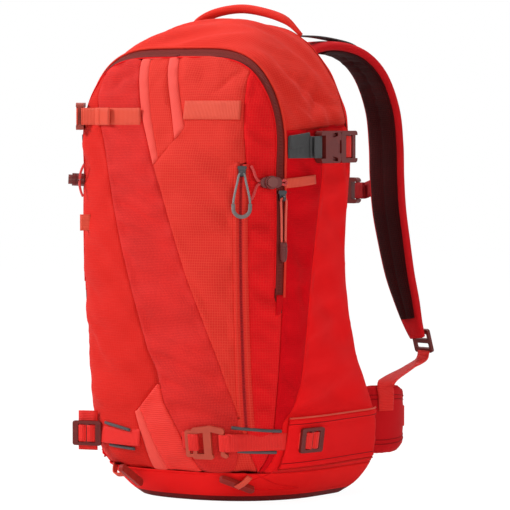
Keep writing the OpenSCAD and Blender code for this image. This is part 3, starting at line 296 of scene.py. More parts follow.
def unit(v):
    return v / np.maximum(np.linalg.norm(v, axis=-1, keepdims=True), 1e-9)


def tangents(p):
    return unit(np.gradient(p, axis=0))


def sectionFrame(p, across):  # across and out of a flat band
    t = tangents(p)
    u = unit(across - (across * t).sum(1, keepdims=True) * t)
    return u, np.cross(u, t)


def gridNormals(grid):
    return unit(np.cross(np.gradient(grid, axis=1), np.gradient(grid, axis=0)))


def edges(grid):  # for each row: distance from its first point, its width, distance from its nearer end
    steps = np.linalg.norm(np.diff(grid, axis=1), axis=2)
    across = np.c_[np.zeros(len(grid)), np.cumsum(steps, axis=1)]
    width = across[:, -1:]
    return across, width, np.minimum(across, width - across)


def weaveAt(u, v):  # the cloth's own two coordinates, from millimetres to metres
    return np.stack(np.broadcast_arrays(u, v), -1) / 1000


def setWeave(mesh, weave):
    corner = np.empty(len(mesh.loops), np.int32)
    mesh.loops.foreach_get("vertex_index", corner)
    mesh.uv_layers.new(name="weave").data.foreach_set("uv", np.array(weave, np.float32)[corner].ravel())


def makeMesh(name, vertices, faces, weave, materials, faceMaterial=None, body=root):  # vertices in millimetres
    mesh = bpy.data.meshes.new(name)
    mesh.from_pydata((np.array(vertices) / 1000).tolist(), [], faces)
    setWeave(mesh, weave)
    for m in materials:
        mesh.materials.append(m)
    if faceMaterial is not None:
        mesh.polygons.foreach_set("material_index", np.array(faceMaterial, np.int32))
    mesh.polygons.foreach_set("use_smooth", np.full(len(mesh.polygons), True))
    mesh.update()
    piece = bpy.data.objects.new(name, mesh)
    bpy.context.collection.objects.link(piece)
    if body:
        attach(piece, body)
    return piece


def quads(rows, cols, closed=False, flip=False, start=0):
    out = []
    for r in range(rows - 1):
        for c in range(cols if closed else cols - 1):
            a, b = start + r * cols + c, start + r * cols + (c + 1) % cols
            q = (a, b, b + cols, a + cols)
            out.append(q[::-1] if flip else q)
    return out


def shell(name, grid, weave, materials, thickness=1.6, body=root, flip=False):
    # cloth with a lining: the grid is its outer face and its normals point out of the bag
    rows, cols = grid.shape[:2]
    inner = grid - thickness * gridNormals(grid) * (-1 if flip else 1)
    count, outer = rows * cols, (rows - 1) * (cols - 1)
    faces = quads(rows, cols, flip=flip) + quads(rows, cols, flip=not flip, start=count)
    rim = (list(range(cols)) + [r * cols + cols - 1 for r in range(1, rows)]
           + [(rows - 1) * cols + c for c in range(cols - 2, -1, -1)] + [r * cols for r in range(rows - 2, 0, -1)])
    for a, b in zip(rim, rim[1:] + rim[:1]):
        q = (a, a + count, b + count, b)
        faces.append(q[::-1] if flip else q)
    index = [0] * outer + [len(materials) - 1] * outer + [0] * len(rim)
    return makeMesh(name, np.vstack([grid.reshape(-1, 3), inner.reshape(-1, 3)]), faces,
                    np.vstack([weave.reshape(-1, 2)] * 2), materials, index, body)


def tube(name, path, radius, material, sides=10, body=root, closed=False):
    p = np.array(path, float)
    t = unit(np.roll(p, -1, 0) - np.roll(p, 1, 0)) if closed else tangents(p)
    u = np.cross(t[0], [0.0, 0, 1] if abs(t[0][2]) < 0.9 else [0.0, 1, 0])
    rings, weave, along = [], [], lengths(p)
    for i in range(len(p)):
        u = u - (u @ t[i]) * t[i]
        u /= np.linalg.norm(u)
        v = np.cross(t[i], u)
        for j in range(sides):
            a = 2 * math.pi * j / sides
            rings.append(p[i] + radius * (math.cos(a) * u + math.sin(a) * v))
            weave.append((a * radius / 1000, along[i] / 1000))
    faces, last = quads(len(p), sides, closed=True), (len(p) - 1) * sides
    if closed:
        faces += [(last + j, last + (j + 1) % sides, (j + 1) % sides, j) for j in range(sides)]
    else:
        faces += [tuple(range(sides - 1, -1, -1)), tuple(range(last, last + sides))]
    return makeMesh(name, rings, faces, weave, [material], body=body)


def ringStack(name, rings, materials, body=root, faceMaterial=None):  # closed rings of points, capped at both ends
    rows, n = rings.shape[:2]
    steps = np.linalg.norm(np.diff(rings, axis=1, append=rings[:, :1]), axis=2)
    weave = list(weaveAt(np.cumsum(steps, axis=1) - steps, lengths(rings.mean(1))[:, None]).reshape(-1, 2))
    vertices = list(rings.reshape(-1, 3))
    faces = quads(rows, n, closed=True)
    for row, turned in ((0, True), (rows - 1, False)):
        vertices.append(rings[row].mean(0))
        weave.append(weave[row * n])
        fan = [(row * n + j, row * n + (j + 1) % n, len(vertices) - 1) for j in range(n)]
        faces += [f[::-1] if turned else f for f in fan]
    index = None
    if faceMaterial:
        index = [faceMaterial(k // n) if k < (rows - 1) * n else 0 for k in range(len(faces))]
    return makeMesh(name, vertices, faces, weave, materials, index, body)


def strap(name, path, across, width, material, thick=webThick, body=root, step=3.0, soft=0, crown=0.0):
    # flat webbing: path in millimetres, across one direction or a list that it turns through
    p = resampled(softened(path, soft) if soft else path, step)
    a = np.array(across, float)
    if a.ndim == 1:
        a = np.array([a, a])
    s = np.linspace(0, len(a) - 1, len(p))
    u, v = sectionFrame(p, np.stack([np.interp(s, range(len(a)), a[:, k]) for k in range(3)], -1))
    half, h = width / 2, thick / 2
    # section: flat faces with thinner woven edges
    section = [(-1, -h * 0.3), (-1, h * 0.3), (-0.93, h), (-0.5, h + crown), (0, h + crown), (0.5, h + crown),
               (0.93, h), (1, h * 0.3), (1, -h * 0.3), (0.93, -h), (0.5, -h), (0, -h), (-0.5, -h), (-0.93, -h)]
    rings = np.stack([p + q[0] * half * u + q[1] * v for q in section], 1)
    rows, n = rings.shape[:2]
    weave = weaveAt([q[0] * half for q in section], lengths(p)[:, None]).reshape(-1, 2)
    faces = quads(rows, n, closed=True, flip=True)
    faces += [tuple(range(n)), tuple(range(rows * n - 1, (rows - 1) * n - 1, -1))]
    return makeMesh(name, rings.reshape(-1, 3), faces, weave, [material], body=body)


def joined(name, parts):  # several meshes as one piece
    bpy.ops.object.select_all(action="DESELECT")
    for p in parts:
        p.select_set(True)
    bpy.context.view_layer.objects.active = parts[0]
    bpy.ops.object.join()
    parts[0].name = parts[0].data.name = name
    return parts[0]


def stitches(name, points, outward, pitch, length, radius, body=root):  # lock stitches lying on the cloth
    p, up = resampled(points, pitch), np.array(outward, float)
    t = tangents(p)
    vertices, faces = [], []
    for i in range(len(p) - 1):
        middle, side, base = (p[i] + p[i + 1]) / 2, np.cross(t[i], up), len(vertices)
        for along, lift, r in ((-0.5, -0.25, 0.5), (-0.25, 0.12, 1), (0.25, 0.12, 1), (0.5, -0.25, 0.5)):
            for a in (45, 135, 225, 315):
                c, s = math.cos(math.radians(a)), math.sin(math.radians(a))
                vertices.append(middle + along * length * t[i] + (lift + r * radius * s) * up + r * radius * c * side)
        faces += quads(4, 4, closed=True, start=base)
        faces += [(base + 3, base + 2, base + 1, base), (base + 12, base + 13, base + 14, base + 15)]
    return makeMesh(name, vertices, faces, np.zeros((len(vertices), 2)), [cloth["thread"]], body=body)


def onto(piece, points, lift):  # points laid on a finished piece, lift mm out of it
    placed = []
    for p in np.asarray(points, float):
        at, normal = piece.closest_point_on_mesh(Vector(p / 1000))[1:3]
        placed.append(np.array(at) * 1000 + lift * np.array(normal))
    return np.array(placed)


# materials

def linear(text):  # sRGB hex to the linear values that the shader takes
    c = np.array([int(text[i:i + 2], 16) / 255 for i in (1, 3, 5)])
    return tuple(np.where(c <= 0.04045, c / 12.92, ((c + 0.055) / 1.055) ** 2.4).tolist()) + (1.0,)


def addNode(tree, kind, settings=None, links=None):
    node = tree.nodes.new("ShaderNode" + kind)
    for key, value in (settings or {}).items():
        if isinstance(key, int) or key in node.inputs:
            node.inputs[key].default_value = value
        else:
            setattr(node, key, value)
    for key, source in (links or {}).items():
        tree.links.new(source if isinstance(source, bpy.types.NodeSocket) else source.outputs[0], node.inputs[key])
    return node


def principled(material):
    return material.node_tree.nodes["Principled BSDF"]


def newMaterial(name, colour, **shader):
    material = bpy.data.materials.new(name)
    material.use_nodes = True
    for key, value in {"Base_Color": linear(colour), **shader}.items():
        principled(material).inputs[key.replace("_", " ")].default_value = value
    return material


def maths(tree, operation, a, b=None, c=None):
    settings, links = {"operation": operation}, {}
    for i, v in enumerate((a, b, c)):
        if v is None:
            continue
        if isinstance(v, (int, float)):
            settings[i] = v
        else:
            links[i] = v
    return addNode(tree, "Math", settings, links)


def mixed(tree, factor, first, second):
    node = addNode(tree, "Mix", {"data_type": "RGBA"})
    for socket, v in ((node.inputs[0], factor), (node.inputs[6], first), (node.inputs[7], second)):
        if isinstance(v, str):
            socket.default_value = linear(v)
        elif isinstance(v, (int, float)):
            socket.default_value = v
        else:
            tree.links.new(v if isinstance(v, bpy.types.NodeSocket) else v.outputs[0], socket)
    return node.outputs[2]


def ranged(tree, value, low, high, first, last, kind="LINEAR"):
    settings = {"interpolation_type": kind, 1: low, 2: high, 3: first, 4: last}
    return addNode(tree, "MapRange", settings, {0: value}).outputs[0]


def noise(tree, place, scale, detail=2.0, roughness=0.5):
    return addNode(tree, "TexNoise", {"Scale": scale, "Detail": detail, "Roughness": roughness}, {"Vector": place})


def wave(tree, coordinate, pitch):  # up and down once in each pitch, in millimetres
    return maths(tree, "SINE", maths(tree, "MULTIPLY", coordinate, 2 * math.pi * 1000 / pitch))


def threadLines(tree, coordinate, pitch, width):  # 1 on a thread line each pitch, 0 between, in millimetres
    distance = maths(tree, "PINGPONG", maths(tree, "DIVIDE", coordinate, pitch / 1000), 0.5)
    return ranged(tree, distance, 0.0, width / pitch / 2, 1.0, 0.0, "SMOOTHSTEP")


def weavePlace(tree, angle=0.0):
    at = addNode(tree, "UVMap", {"uv_map": "weave"})
    if angle:
        at = addNode(tree, "VectorRotate", {"rotation_type": "Z_AXIS", "Angle": math.radians(angle)}, {"Vector": at})
    parts = addNode(tree, "SeparateXYZ", links={0: at})
    return at, parts.outputs[0], parts.outputs[1]


def solidPlace(tree):
    return addNode(tree, "TexCoord").outputs["Object"]


def cloudy(tree, colour, shade, size, amount):  # slow change of tone, size in millimetres
    cloud = noise(tree, solidPlace(tree), 1000 / size, 3.0, 0.55)
    return mixed(tree, ranged(tree, cloud, 0.3, 0.7, 0.0, amount), colour, shade)


def finished(material, colour, height, depth):  # puts colour and relief on a material, depth in millimetres
    tree, surface = material.node_tree, principled(material)
    node = addNode(tree, "Bump", {"Strength": 1.0, "Distance": depth / 1000}, {"Height": height})
    tree.links.new(node.outputs[0], surface.inputs["Normal"])
    tree.links.new(colour, surface.inputs["Base Color"])
    return material


clothSheen = {"Roughness": 0.8, "Specular_IOR_Level": 0.05, "Sheen_Weight": 0.02, "Sheen_Roughness": 0.5}


# Ripstop nylon: plain weave with a heavier thread at each pitch, seen as small squares with a raised grid.
# Its real grid of about 2 mm is drawn at 2.4 to 3 mm, to show at the picture's size
def ripstop(name, colour, shade, line, pitch=3.0, width=0.9, lineAmount=0.55):
    tint = linear("#ffc0a8")
    material = newMaterial(name, colour, **clothSheen, Sheen_Tint=tint, Specular_Tint=tint)
    tree = material.node_tree
    at, u, v = weavePlace(tree)
    grid = maths(tree, "MAXIMUM", threadLines(tree, u, pitch, width), threadLines(tree, v, pitch, width))
    tone = mixed(tree, maths(tree, "MULTIPLY", grid, lineAmount), cloudy(tree, colour, shade, 70, 0.8), line)
    return finished(material, tone, maths(tree, "MULTIPLY_ADD", noise(tree, at, 900.0), 0.6, grid), 0.25)


# Oxford weave: thick yarns over and under, seen as a fine fleck that breaks up the light: random yarn tone, with the
# raised crossings painted lighter as glints; drawn coarser to show
def oxford(name, colour, shade, fleckAndGlint, pitch=2.0, angle=0.0, amount=0.3, roughness=0.78):
    material = newMaterial(name, colour, **{**clothSheen, "Roughness": roughness})
    tree = material.node_tree
    at, u, v = weavePlace(tree, angle)
    yarn = maths(tree, "MULTIPLY_ADD", noise(tree, at, 650.0, 2.0, 0.7), 1.2, -0.1)
    over = maths(tree, "MULTIPLY", wave(tree, u, pitch), wave(tree, v, pitch))
    speckle = maths(tree, "MULTIPLY_ADD", over, 0.5, yarn)
    # random yarn tone, and painted glints on the raised crossings
    tone = mixed(tree, ranged(tree, speckle, 0.1, 1.1, 0.0, amount), cloudy(tree, colour, shade, 50, 0.8), fleckAndGlint)
    return finished(material, tone, speckle, 0.22)


# Nylon webbing: hard flat yarns in ribs across the band, a little glossy, with the top of each rib painted lighter as a
# highlight
def webbing(name, colour, shade, ribHighlight, pitch=1.9):
    material = newMaterial(name, colour, Roughness=0.55, Specular_IOR_Level=0.18, Sheen_Weight=0.03,
                           Sheen_Roughness=0.4)
    tree = material.node_tree
    u, v = weavePlace(tree)[1:]
    zigzag = maths(tree, "PINGPONG", maths(tree, "DIVIDE", u, 0.0024), 0.5)
    ribs = wave(tree, maths(tree, "MULTIPLY_ADD", zigzag, 0.0006, v), pitch)
    # the rib tops take the lighter colour: painted highlight
    tone = mixed(tree, ranged(tree, ribs, -1.0, 1.0, 0.0, 0.6), cloudy(tree, colour, shade, 30, 0.8), ribHighlight)
    return finished(material, tone, ribs, 0.16)


# Spacer mesh: a knitted face full of small round holes over dark foam
def spacerMesh(name, colour, hole, pitch=2.6):
    material = newMaterial(name, colour, Roughness=0.85, Specular_IOR_Level=0.08, Sheen_Weight=0.03)
    tree = material.node_tree
    cells = addNode(tree, "TexVoronoi", {"Scale": 1000 / pitch, "Randomness": 0.15}, {"Vector": weavePlace(tree)[0]})
    holes = ranged(tree, cells.outputs["Distance"], 0.22, 0.42, 0.85, 0.0)
    tone = mixed(tree, holes, cloudy(tree, colour, hole, 45, 0.5), hole)
    return finished(material, tone, maths(tree, "SUBTRACT", 1.0, holes), 0.4)


# Moulded acetal: dense, slightly waxy plastic with a fine spark-eroded grain from the tool
def acetal(name, colour, shade, roughness=0.42):
    material = newMaterial(name, colour, Roughness=roughness, Specular_IOR_Level=0.3, IOR=1.48)
    tree = material.node_tree
    grain = noise(tree, solidPlace(tree), 1600.0, 3.0)
    wear = ranged(tree, grain, 0.35, 0.7, roughness - 0.06, roughness + 0.1)
    tree.links.new(wear, principled(material).inputs["Roughness"])
    return finished(material, cloudy(tree, colour, shade, 9, 0.7), grain, 0.05)


# Coated metal: satin lacquer over a casting, with a soft orange-peel surface
def coatedMetal(name, colour, shade, metallic, roughness):
    material = newMaterial(name, colour, Metallic=metallic, Roughness=roughness)
    tree = material.node_tree
    return finished(material, cloudy(tree, colour, shade, 12, 0.7), noise(tree, solidPlace(tree), 700.0), 0.04)


# Cord: a braided sheath, its strands winding round in two directions, with painted shade in the grooves between them
def braid(name, colour, shade):
    material = newMaterial(name, colour, Roughness=0.6, Specular_IOR_Level=0.35, Sheen_Weight=0.1)
    tree = material.node_tree
    u, v = weavePlace(tree)[1:]
    one, two = (wave(tree, maths(tree, way, u, v), 2.4) for way in ("ADD", "SUBTRACT"))
    strands = maths(tree, "MAXIMUM", one, two)
    # darker between the strands: painted shade in the grooves
    return finished(material, mixed(tree, ranged(tree, strands, -0.4, 1.0, 0.6, 0.0), colour, shade), strands, 0.12)


# Nylon coil zip: two tapes with interlocked coils down the middle
def coilZip(name, tape, shade, coil, pitch=1.7, half=1.5):
    material = newMaterial(name, tape, Roughness=0.6, Specular_IOR_Level=0.12)
    tree = material.node_tree
    u, v = weavePlace(tree)[1:]
    middle = ranged(tree, maths(tree, "ABSOLUTE", u), half / 1000, (half + 0.5) / 1000, 1.0, 0.0, "SMOOTHSTEP")
    teeth = wave(tree, v, pitch)
    toothed = mixed(tree, ranged(tree, teeth, -1.0, 1.0, 0.0, 1.0), coil, shade)
    tone = mixed(tree, middle, cloudy(tree, tape, shade, 14, 0.5), toothed)
    return finished(material, tone, maths(tree, "MULTIPLY", teeth, middle), 0.4)


# Binding tape, piping and thread: matt, with a faint fuzz
def plainCloth(name, colour, shade, **shader):
    material = newMaterial(name, colour, **{**clothSheen, **shader})
    tree = material.node_tree
    fuzz = noise(tree, addNode(tree, "UVMap", {"uv_map": "weave"}), 1200.0)
    return finished(material, cloudy(tree, colour, shade, 18, 0.8), fuzz, 0.15)


cloth = {
    "centre": ripstop("ripstopNylonCentre", "#dd2820", "#d2201c", "#f0503e", lineAmount=0.6),
    "right": ripstop("ripstopNylonRight", "#ea1a20", "#da141b", "#f23a33"),
    "left": ripstop("ripstopNylonLeft", "#da241f", "#cf1f1b", "#e6382f", pitch=2.8, lineAmount=0.5),
    "diagonal": oxford("oxfordNylonDiagonal", "#d01516", "#b00e11", "#f53c30", pitch=2.6, angle=45, amount=0.65),
    "band": webbing("ribbedNylonBand", "#ec2b24", "#e0251f", "#f4483b", pitch=2.4),
    "stripe": oxford("brushedNylonStripe", "#ec3a2c", "#e23226", "#f65c48", pitch=2.4, amount=0.35),
    "hood": ripstop("ripstopNylonHood", "#e0291f", "#d4211c", "#ec4334", pitch=2.6, lineAmount=0.5),
    "side": ripstop("ripstopNylonSide", "#dc0c18", "#ca0915", "#e61a24", pitch=2.4, width=0.8, lineAmount=0.3),
    # the side's rear panel, of its own weave at a real seam, is coloured lighter than the side pocket's cloth as a
    # painted highlight towards the rear
    "sidePaintedHighlight": oxford("plainNylonSidePaintedHighlight", "#f4171b", "#e61218", "#fb2822", pitch=1.8),
    "boot": oxford("coatedNylonBoot", "#ff1c1c", "#f01618", "#ff2c25", pitch=2.2, roughness=0.7),
    # dark maroon: the colour of the bindings and back piping, and painted shade on the boot's lowest band under the bag
    "base": oxford("maroonNylonAndPaintedUnderShade", "#7a1313", "#650d0d", "#8d1e1d", pitch=2.2, roughness=0.7),
    "backing": plainCloth("nylonTaffetaBacking", "#a50e14", "#8f0a10"),
    "lining": plainCloth("polyesterLining", "#611b1b", "#501414", Roughness=0.6),
    "strap": oxford("stretchNylonStrap", "#d40e18", "#c40b15", "#de2426", pitch=1.8),
    "binding": plainCloth("foldedBindingTape", "#d4241f", "#c81d1b", Roughness=0.75),
    "piping": plainCloth("corePiping", "#e43a2b", "#d93025", Roughness=0.7),
    "greyPiping": plainCloth("reflectivePiping", "#615c5d", "#524d4f", Roughness=0.5),
    "thread": plainCloth("bondedThread", "#f2604a", "#e85140", Roughness=0.6),
    "redThread": plainCloth("bondedThreadRed", "#a30f14", "#930b10", Roughness=0.6),
    "mesh": spacerMesh("spacerMeshMaroon", "#470809", "#1e0203"),
    "backMesh": spacerMesh("spacerMeshBack", "#571012", "#260506", pitch=3.2),
    "backFoam": oxford("laminatedFoam", "#4a0f11", "#3a090b", "#631a19", pitch=2.6, angle=45, amount=0.4),
}
web = {
    "coral": webbing("nylonWebbingCoral", "#e04a35", "#d63f2d", "#ee634c"),
    "red": webbing("nylonWebbingRed", "#e8221f", "#d81c1b", "#f23a30"),
    "grey": webbing("nylonWebbingGrey", "#454546", "#3c3c3d", "#555454"),
    "deep": webbing("nylonWebbingDeepRed", "#9c0b12", "#8d080e", "#ad1a1d"),
}
hard = {
    "buckle": acetal("mouldedAcetalMaroon", "#6e211d", "#5e1b18"),
    "buckleCoral": acetal("mouldedAcetalRust", "#a84a3d", "#8f3c33"),
    "grip": acetal("mouldedRubberGrey", "#7d7472", "#6c6462", roughness=0.55),
    "gripMaroon": acetal("mouldedRubberMaroon", "#6f2b29", "#5f2221", roughness=0.5),
    "slider": coatedMetal("dieCastZincGunmetal", "#4d4b4d", "#3b393b", 0.85, 0.35),
    "toggle": webbing("wovenToggleBar", "#9a241d", "#6b1512", "#b53126", pitch=3.0),
    "hook": coatedMetal("anodisedAluminiumCopper", "#bf4731", "#b23f2c", 0.3, 0.5),
    "button": acetal("mouldedAcetalGrey", "#7a3a34", "#69302b"),
    "sheet": acetal("extrudedPolyethylene", "#2e2e30", "#252527"),
    "stay": coatedMetal("drawnAluminium", "#a8a8a8", "#969696", 1.0, 0.4),
}
cordCloth = {
    "coral": braid("braidedCordCoral", "#e8604c", "#c23c30"),
    "grey": braid("braidedCordGrey", "#8c8a89", "#666465"),
    "elastic": braid("braidedElasticRed", "#dd3f3c", "#b2262a"),
    "zip": coilZip("coilZipMaroon", "#7a2420", "#611a17", "#8c352e"),
    "pocketZip": coilZip("coilZipRed", "#d52a29", "#c01f22", "#8c1a1c", pitch=1.8, half=0.9),
}
# how glossy each cloth's coating is
for name, level in {"hood": 0.3, "centre": 0.45, "stripe": 0.7, "diagonal": 0.2, "left": 0.15, "strap": 0.12}.items():
    principled(cloth[name]).inputs["Specular IOR Level"].default_value = level
print("materials made")


# cords

slider = {"length": 12, "thick": 4.4, "lift": 0.6, "bailRise": 2.0, "archZ": 356, "pocketX": 110, "pocketZ": 384,
          "pocketLift": 2.3}
pull = {"diameter": 2.6,
        "arch": [(-3.4, -4, 0.5), (-3, -13, 0.4), (-2.6, -26, 0), (-2.4, -40, -0.4), (-2.2, -50, -0.6)],
        "pocket": [(-3.8, -3.4, 0.4), (-4.8, -9, 0.6), (-7, -18, 0.4), (-9, -28, 0.2), (-9.6, -34, 0)]}
elastic = {"diameter": 3.0, "x": float(sideX(zipFrontY - 6.1, 371)), "z": 371, "lift": 0.5,
           "half": [(-21, 19, 1.5), (-19, 13.5, 4), (-16.8, 6, 5.8), (-13.8, 1.9, 5.6), (-7, 1.75, 5.6), (0, 1.75, 5.6),
                    (7, 1.75, 5.6), (14.2, 1.8, 5.5), (16.8, 2.6, 3.4), (18.8, 2, 1.8), (20, 0, 1.6)]}


def cordPiece(name, path, diameter, material, body, node):
    piece = tube(name, path, diameter / 2, material, sides=12, body=body)
    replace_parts(piece, node)
    return piece


def makeCords():
    archFrame = placeSide(zipY, slider["archZ"], slider["lift"])
    pocketFrame = placeFront(slider["pocketX"], slider["pocketZ"], slider["pocketLift"])
    for which, place, colour in (("arch", archFrame, "coral"), ("pocket", pocketFrame, "grey")):
        r = pull[which]
        route = r[::-1] + [(-2.4, -0.4, 0), (0, 0, 0), (2.4, -0.4, 0)] + [(-p[0], p[1], p[2]) for p in r]
        hang = shift(0, 3 - slider["length"] / 2, slider["thick"] + slider["bailRise"])
        cordPiece(which + "PullCord", put(place @ hang, spline(route, 3)), pull["diameter"], cordCloth[colour],
                  which + "_pull", which + "_pull_cord")
    route = elastic["half"] + [(p[0], -p[1], p[2]) for p in elastic["half"][-2::-1]]
    for label, m in bothSides:
        place = m @ placeFront(elastic["x"], elastic["z"], elastic["lift"])
        cordPiece("elasticLoop" + label, put(place, spline(route, 3)), elastic["diameter"], cordCloth["elastic"],
                  flap, "tool_bungee_" + label.lower())


makeCords()
print("cords made")


# cloth on the front

heightTable = np.linspace(0, 555, 556)
lengthTable = np.r_[0, np.cumsum(np.hypot(np.diff(heightTable), np.diff(frontY(heightTable))))]


def alongFront(z):
    return np.interp(z, heightTable, lengthTable)


def creases(x, z, folds):  # each fold: ends, half width and height of a ridge, or depth of a furrow
    h = np.zeros(np.broadcast(x, z).shape)
    for x0, z0, x1, z1, wide, high in folds:
        d = np.array([x1 - x0, z1 - z0], float)
        long = np.hypot(*d)
        s = np.clip(((x - x0) * d[0] + (z - z0) * d[1]) / long**2, 0, 1)
        off = np.hypot(x - x0 - s * d[0], z - z0 - s * d[1])
        h += 2.1 * high * np.exp(-(off / wide) ** 2) * (0.35 + 0.65 * np.sin(math.pi * np.clip(s, 0.02, 0.98)))
    return h


def ripples(x, z, seed, size, high):  # slack in the cloth: a few broad waves in chance directions
    chance = np.random.RandomState(seed)
    h = np.zeros(np.broadcast(x, z).shape)
    for _ in range(7):
        a, phase, span = chance.uniform(0.8, 2.3), chance.uniform(0, 6.28), size * chance.uniform(0.4, 1.4)
        h += np.sin((x * math.cos(a) + z * math.sin(a)) * 2 * math.pi / span + phase) * chance.uniform(0.4, 1)
    return 2.8 * np.tanh(h * high / 1.7) - 1.2 * high


def underStraps(z):  # webbing pulled tight flattens the cloth under it
    free = 1.0
    for height, reach in ((449, 19), (74, 24)):
        free = free * (1 - np.exp(-((z - height) / reach) ** 4))
    return free


def seamEdge(d, sink, puff):  # sunk at a seam and puffed up beside it
    return puff * (1 - np.exp(-d / 7)) - sink * np.exp(-d / 1.5)


def crowded(n, share=0.5):  # 0 to 1 in n steps, closer together at both ends
    s = np.linspace(0, 1, n)
    return share * s + (1 - share) * (0.5 - 0.5 * np.cos(math.pi * s))


def turnedUnder(grid, normals, weave):  # both long edges turned in by the seam allowance
    deep = 2.6
    first, last = grid[:, :1] - deep * normals[:, :1], grid[:, -1:] - deep * normals[:, -1:]
    return np.concatenate([first, grid, last], 1), np.concatenate([weave[:, :1], weave, weave[:, -1:]], 1)


def archEdge(z):
    return np.where(z >= bag["fold"], zipFrontY, zipFrontY + (zipBackY - 0.3 - zipFrontY) * ease((bag["fold"] - z) / 9))


def puckers(edge, z, pitch, bend, phase):  # cloth drawn up along its seams
    angle = z * 2 * math.pi / pitch + 2.1 * np.sin(z / bend) + phase
    return 0.5 * np.exp(-edge / 9) * np.clip(edge / 2.5, 0, 1) * np.sin(angle)


def overFold(piece):  # for cloth that runs on over the fold of the flap; it only bakes the piece's placement into its mesh
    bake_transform(piece)


def frontPatch(name, left, right, low, high, material, rows, columns, folds=(), slack=(1, 60, 0.5), sink=1.2, puff=0.7,
               raised=0.0, crowd=1.0, rollLow=False, blended=False, body=root):
    # left and right give the edge at a height, None where the panel ends at the arch zip
    z = low + (high - low) * (1 - (1 - np.linspace(0, 1, rows)) ** crowd)
    z2 = z[:, None]
    reach = reachAngle(archEdge(z), z)
    a0 = -reach if left is None else np.clip(angleAt(left(z), z), -reach, reach)
    a1 = reach if right is None else np.clip(angleAt(right(z), z), -reach, reach)
    grid = frontPoint(a0[:, None] + (a1 - a0)[:, None] * crowded(columns), z2)
    for column, line in ((0, left), (-1, right)):
        if line is None:
            grid[:, column, 1] = archEdge(z)
    across, width, edge = edges(grid)
    x = grid[..., 0]
    h = seamEdge(edge, sink, puff) + raised
    if rollLow:
        h += seamEdge(z2 - low, sink, puff) - puff
    wide, free = np.clip(width / 14, 0, 1), underStraps(z2)
    h = h * np.clip(width / 4, 0, 1)
    h += np.clip(edge / 10, 0, 1) * wide * free * (creases(x, z2, folds) + ripples(x, z2, *slack))
    h += puckers(edge, z2, 15, 31, slack[0]) * wide * free
    n = gridNormals(grid)
    n[np.linalg.norm(n, axis=-1) <= 0.5] = 0, -1, 0
    weave = weaveAt(x[:, :1] + across, alongFront(z)[:, None])
    grid, weave = turnedUnder(grid + h[..., None] * n, n, weave)
    piece = shell(name, grid, weave, [material, cloth["lining"]], 1.4, None if blended else body)
    if blended:
        overFold(piece)
    return piece


frontPatch("frontBacking", None, None, 37, 512, cloth["backing"], 60, 30, blended=True, raised=-5.5, sink=0, puff=0,
           slack=(2, 60, 0.0))

seam = {
    "left": [(470, -107), (436, -95), (415, -86), (366, -71), (303, -55), (245, -37), (177, -14), (154, -1), (117, 8),
             (86, 26), (37, 49)],
    "diagonal": [(510, -51), (447, -33), (399, -12), (365, 4), (314, 22), (265, 40), (214, 62), (169, 80), (111, 99),
                 (95, 103), (74, 101), (48, 92), (37, 84)],
    "stripeOne": [(512, -38), (442, -18), (399, -2)],
    "stripeTwoLeft": [(514, -12), (465, 5), (421, 18)],
    "stripeTwoRight": [(514, 2), (465, 19), (435, 30)],
    "vee": [(388, -12), (435, 30)],
    "zipLeft": [(520, 103), (488, 103), (394, 111.6), (390, 102), (100, 101), (92, 107.3), (36, 107.3)],
    "zipRight": [(520, 103.2), (488, 103.2), (394, 111.8), (390, 113.6), (100, 113.8), (92, 107.5), (36, 107.5)],
    "bandTop": [(89, -47), (110, -26), (138, 0)],
    "bandLeft": [(110, -26), (37, 4)],
    "stripeLeft": [(106, -34), (37, -16)],
}
curve = {k: lineTable(v) for k, v in seam.items()}


def centreLeft(z):
    return np.where(z > 435, curve["stripeTwoRight"](z), np.where(z > 391.8, curve["vee"](z), curve["diagonal"](z)))


def leftPanelEdge(z):
    return np.where(z < 106, curve["stripeLeft"](z), np.where(z < 138, curve["bandTop"](z), curve["left"](z)))


lowZ = bag["boot"] + 0.4
frontFolds = {
    "left": [(-128, 257, -84, 221, 6, -1.2), (-126, 221, -74, 184, 7, -1.3), (-120, 160, -64, 134, 7, -1.1),
             (-112, 196, -74, 158, 6, 1.0), (-118, 330, -92, 296, 7, -1.0), (-112, 470, -70, 455, 7, -1.6),
             (-118, 440, -84, 428, 6, 1.2), (-104, 400, -80, 372, 9, -1.0), (-126, 330, -96, 300, 10, 1.0),
             (-128, 210, -80, 150, 14, -1.4), (-110, 130, -60, 100, 9, 1.2)],
    "diagonal": [(-34, 142, 12, 128, 6, -1.2), (-26, 112, 22, 104, 5, -1.1), (-44, 176, -4, 158, 7, 1.0),
                 (-66, 300, -28, 268, 8, -1.0), (-90, 480, -60, 496, 6, -1.4), (-86, 470, -56, 470, 5, 1.0),
                 (-70, 440, -40, 420, 8, -0.9), (-66, 360, -20, 345, 10, -1.2), (-48, 300, 10, 285, 12, 1.0),
                 (-20, 210, 40, 205, 12, -1.2), (10, 150, 70, 140, 12, 0.9)],
    "centre": [(40, 505, 47, 482, 5, -0.8), (64, 474, 92, 497, 3.5, -1.0), (60, 506, 70, 488, 5, 0.8),
               (80, 440, 100, 400, 10, 0.7), (52, 330, 92, 300, 14, -0.7), (70, 200, 98, 190, 9, -0.8)],
    "right": [(112, 470, 130, 455, 4, -1.6), (112, 452, 132, 440, 4, 1.2), (114, 300, 140, 292, 5, -1.0),
              (114, 228, 142, 222, 5, 0.8), (116, 190, 142, 176, 6, -0.9), (116, 110, 138, 100, 6, 0.8)],
}
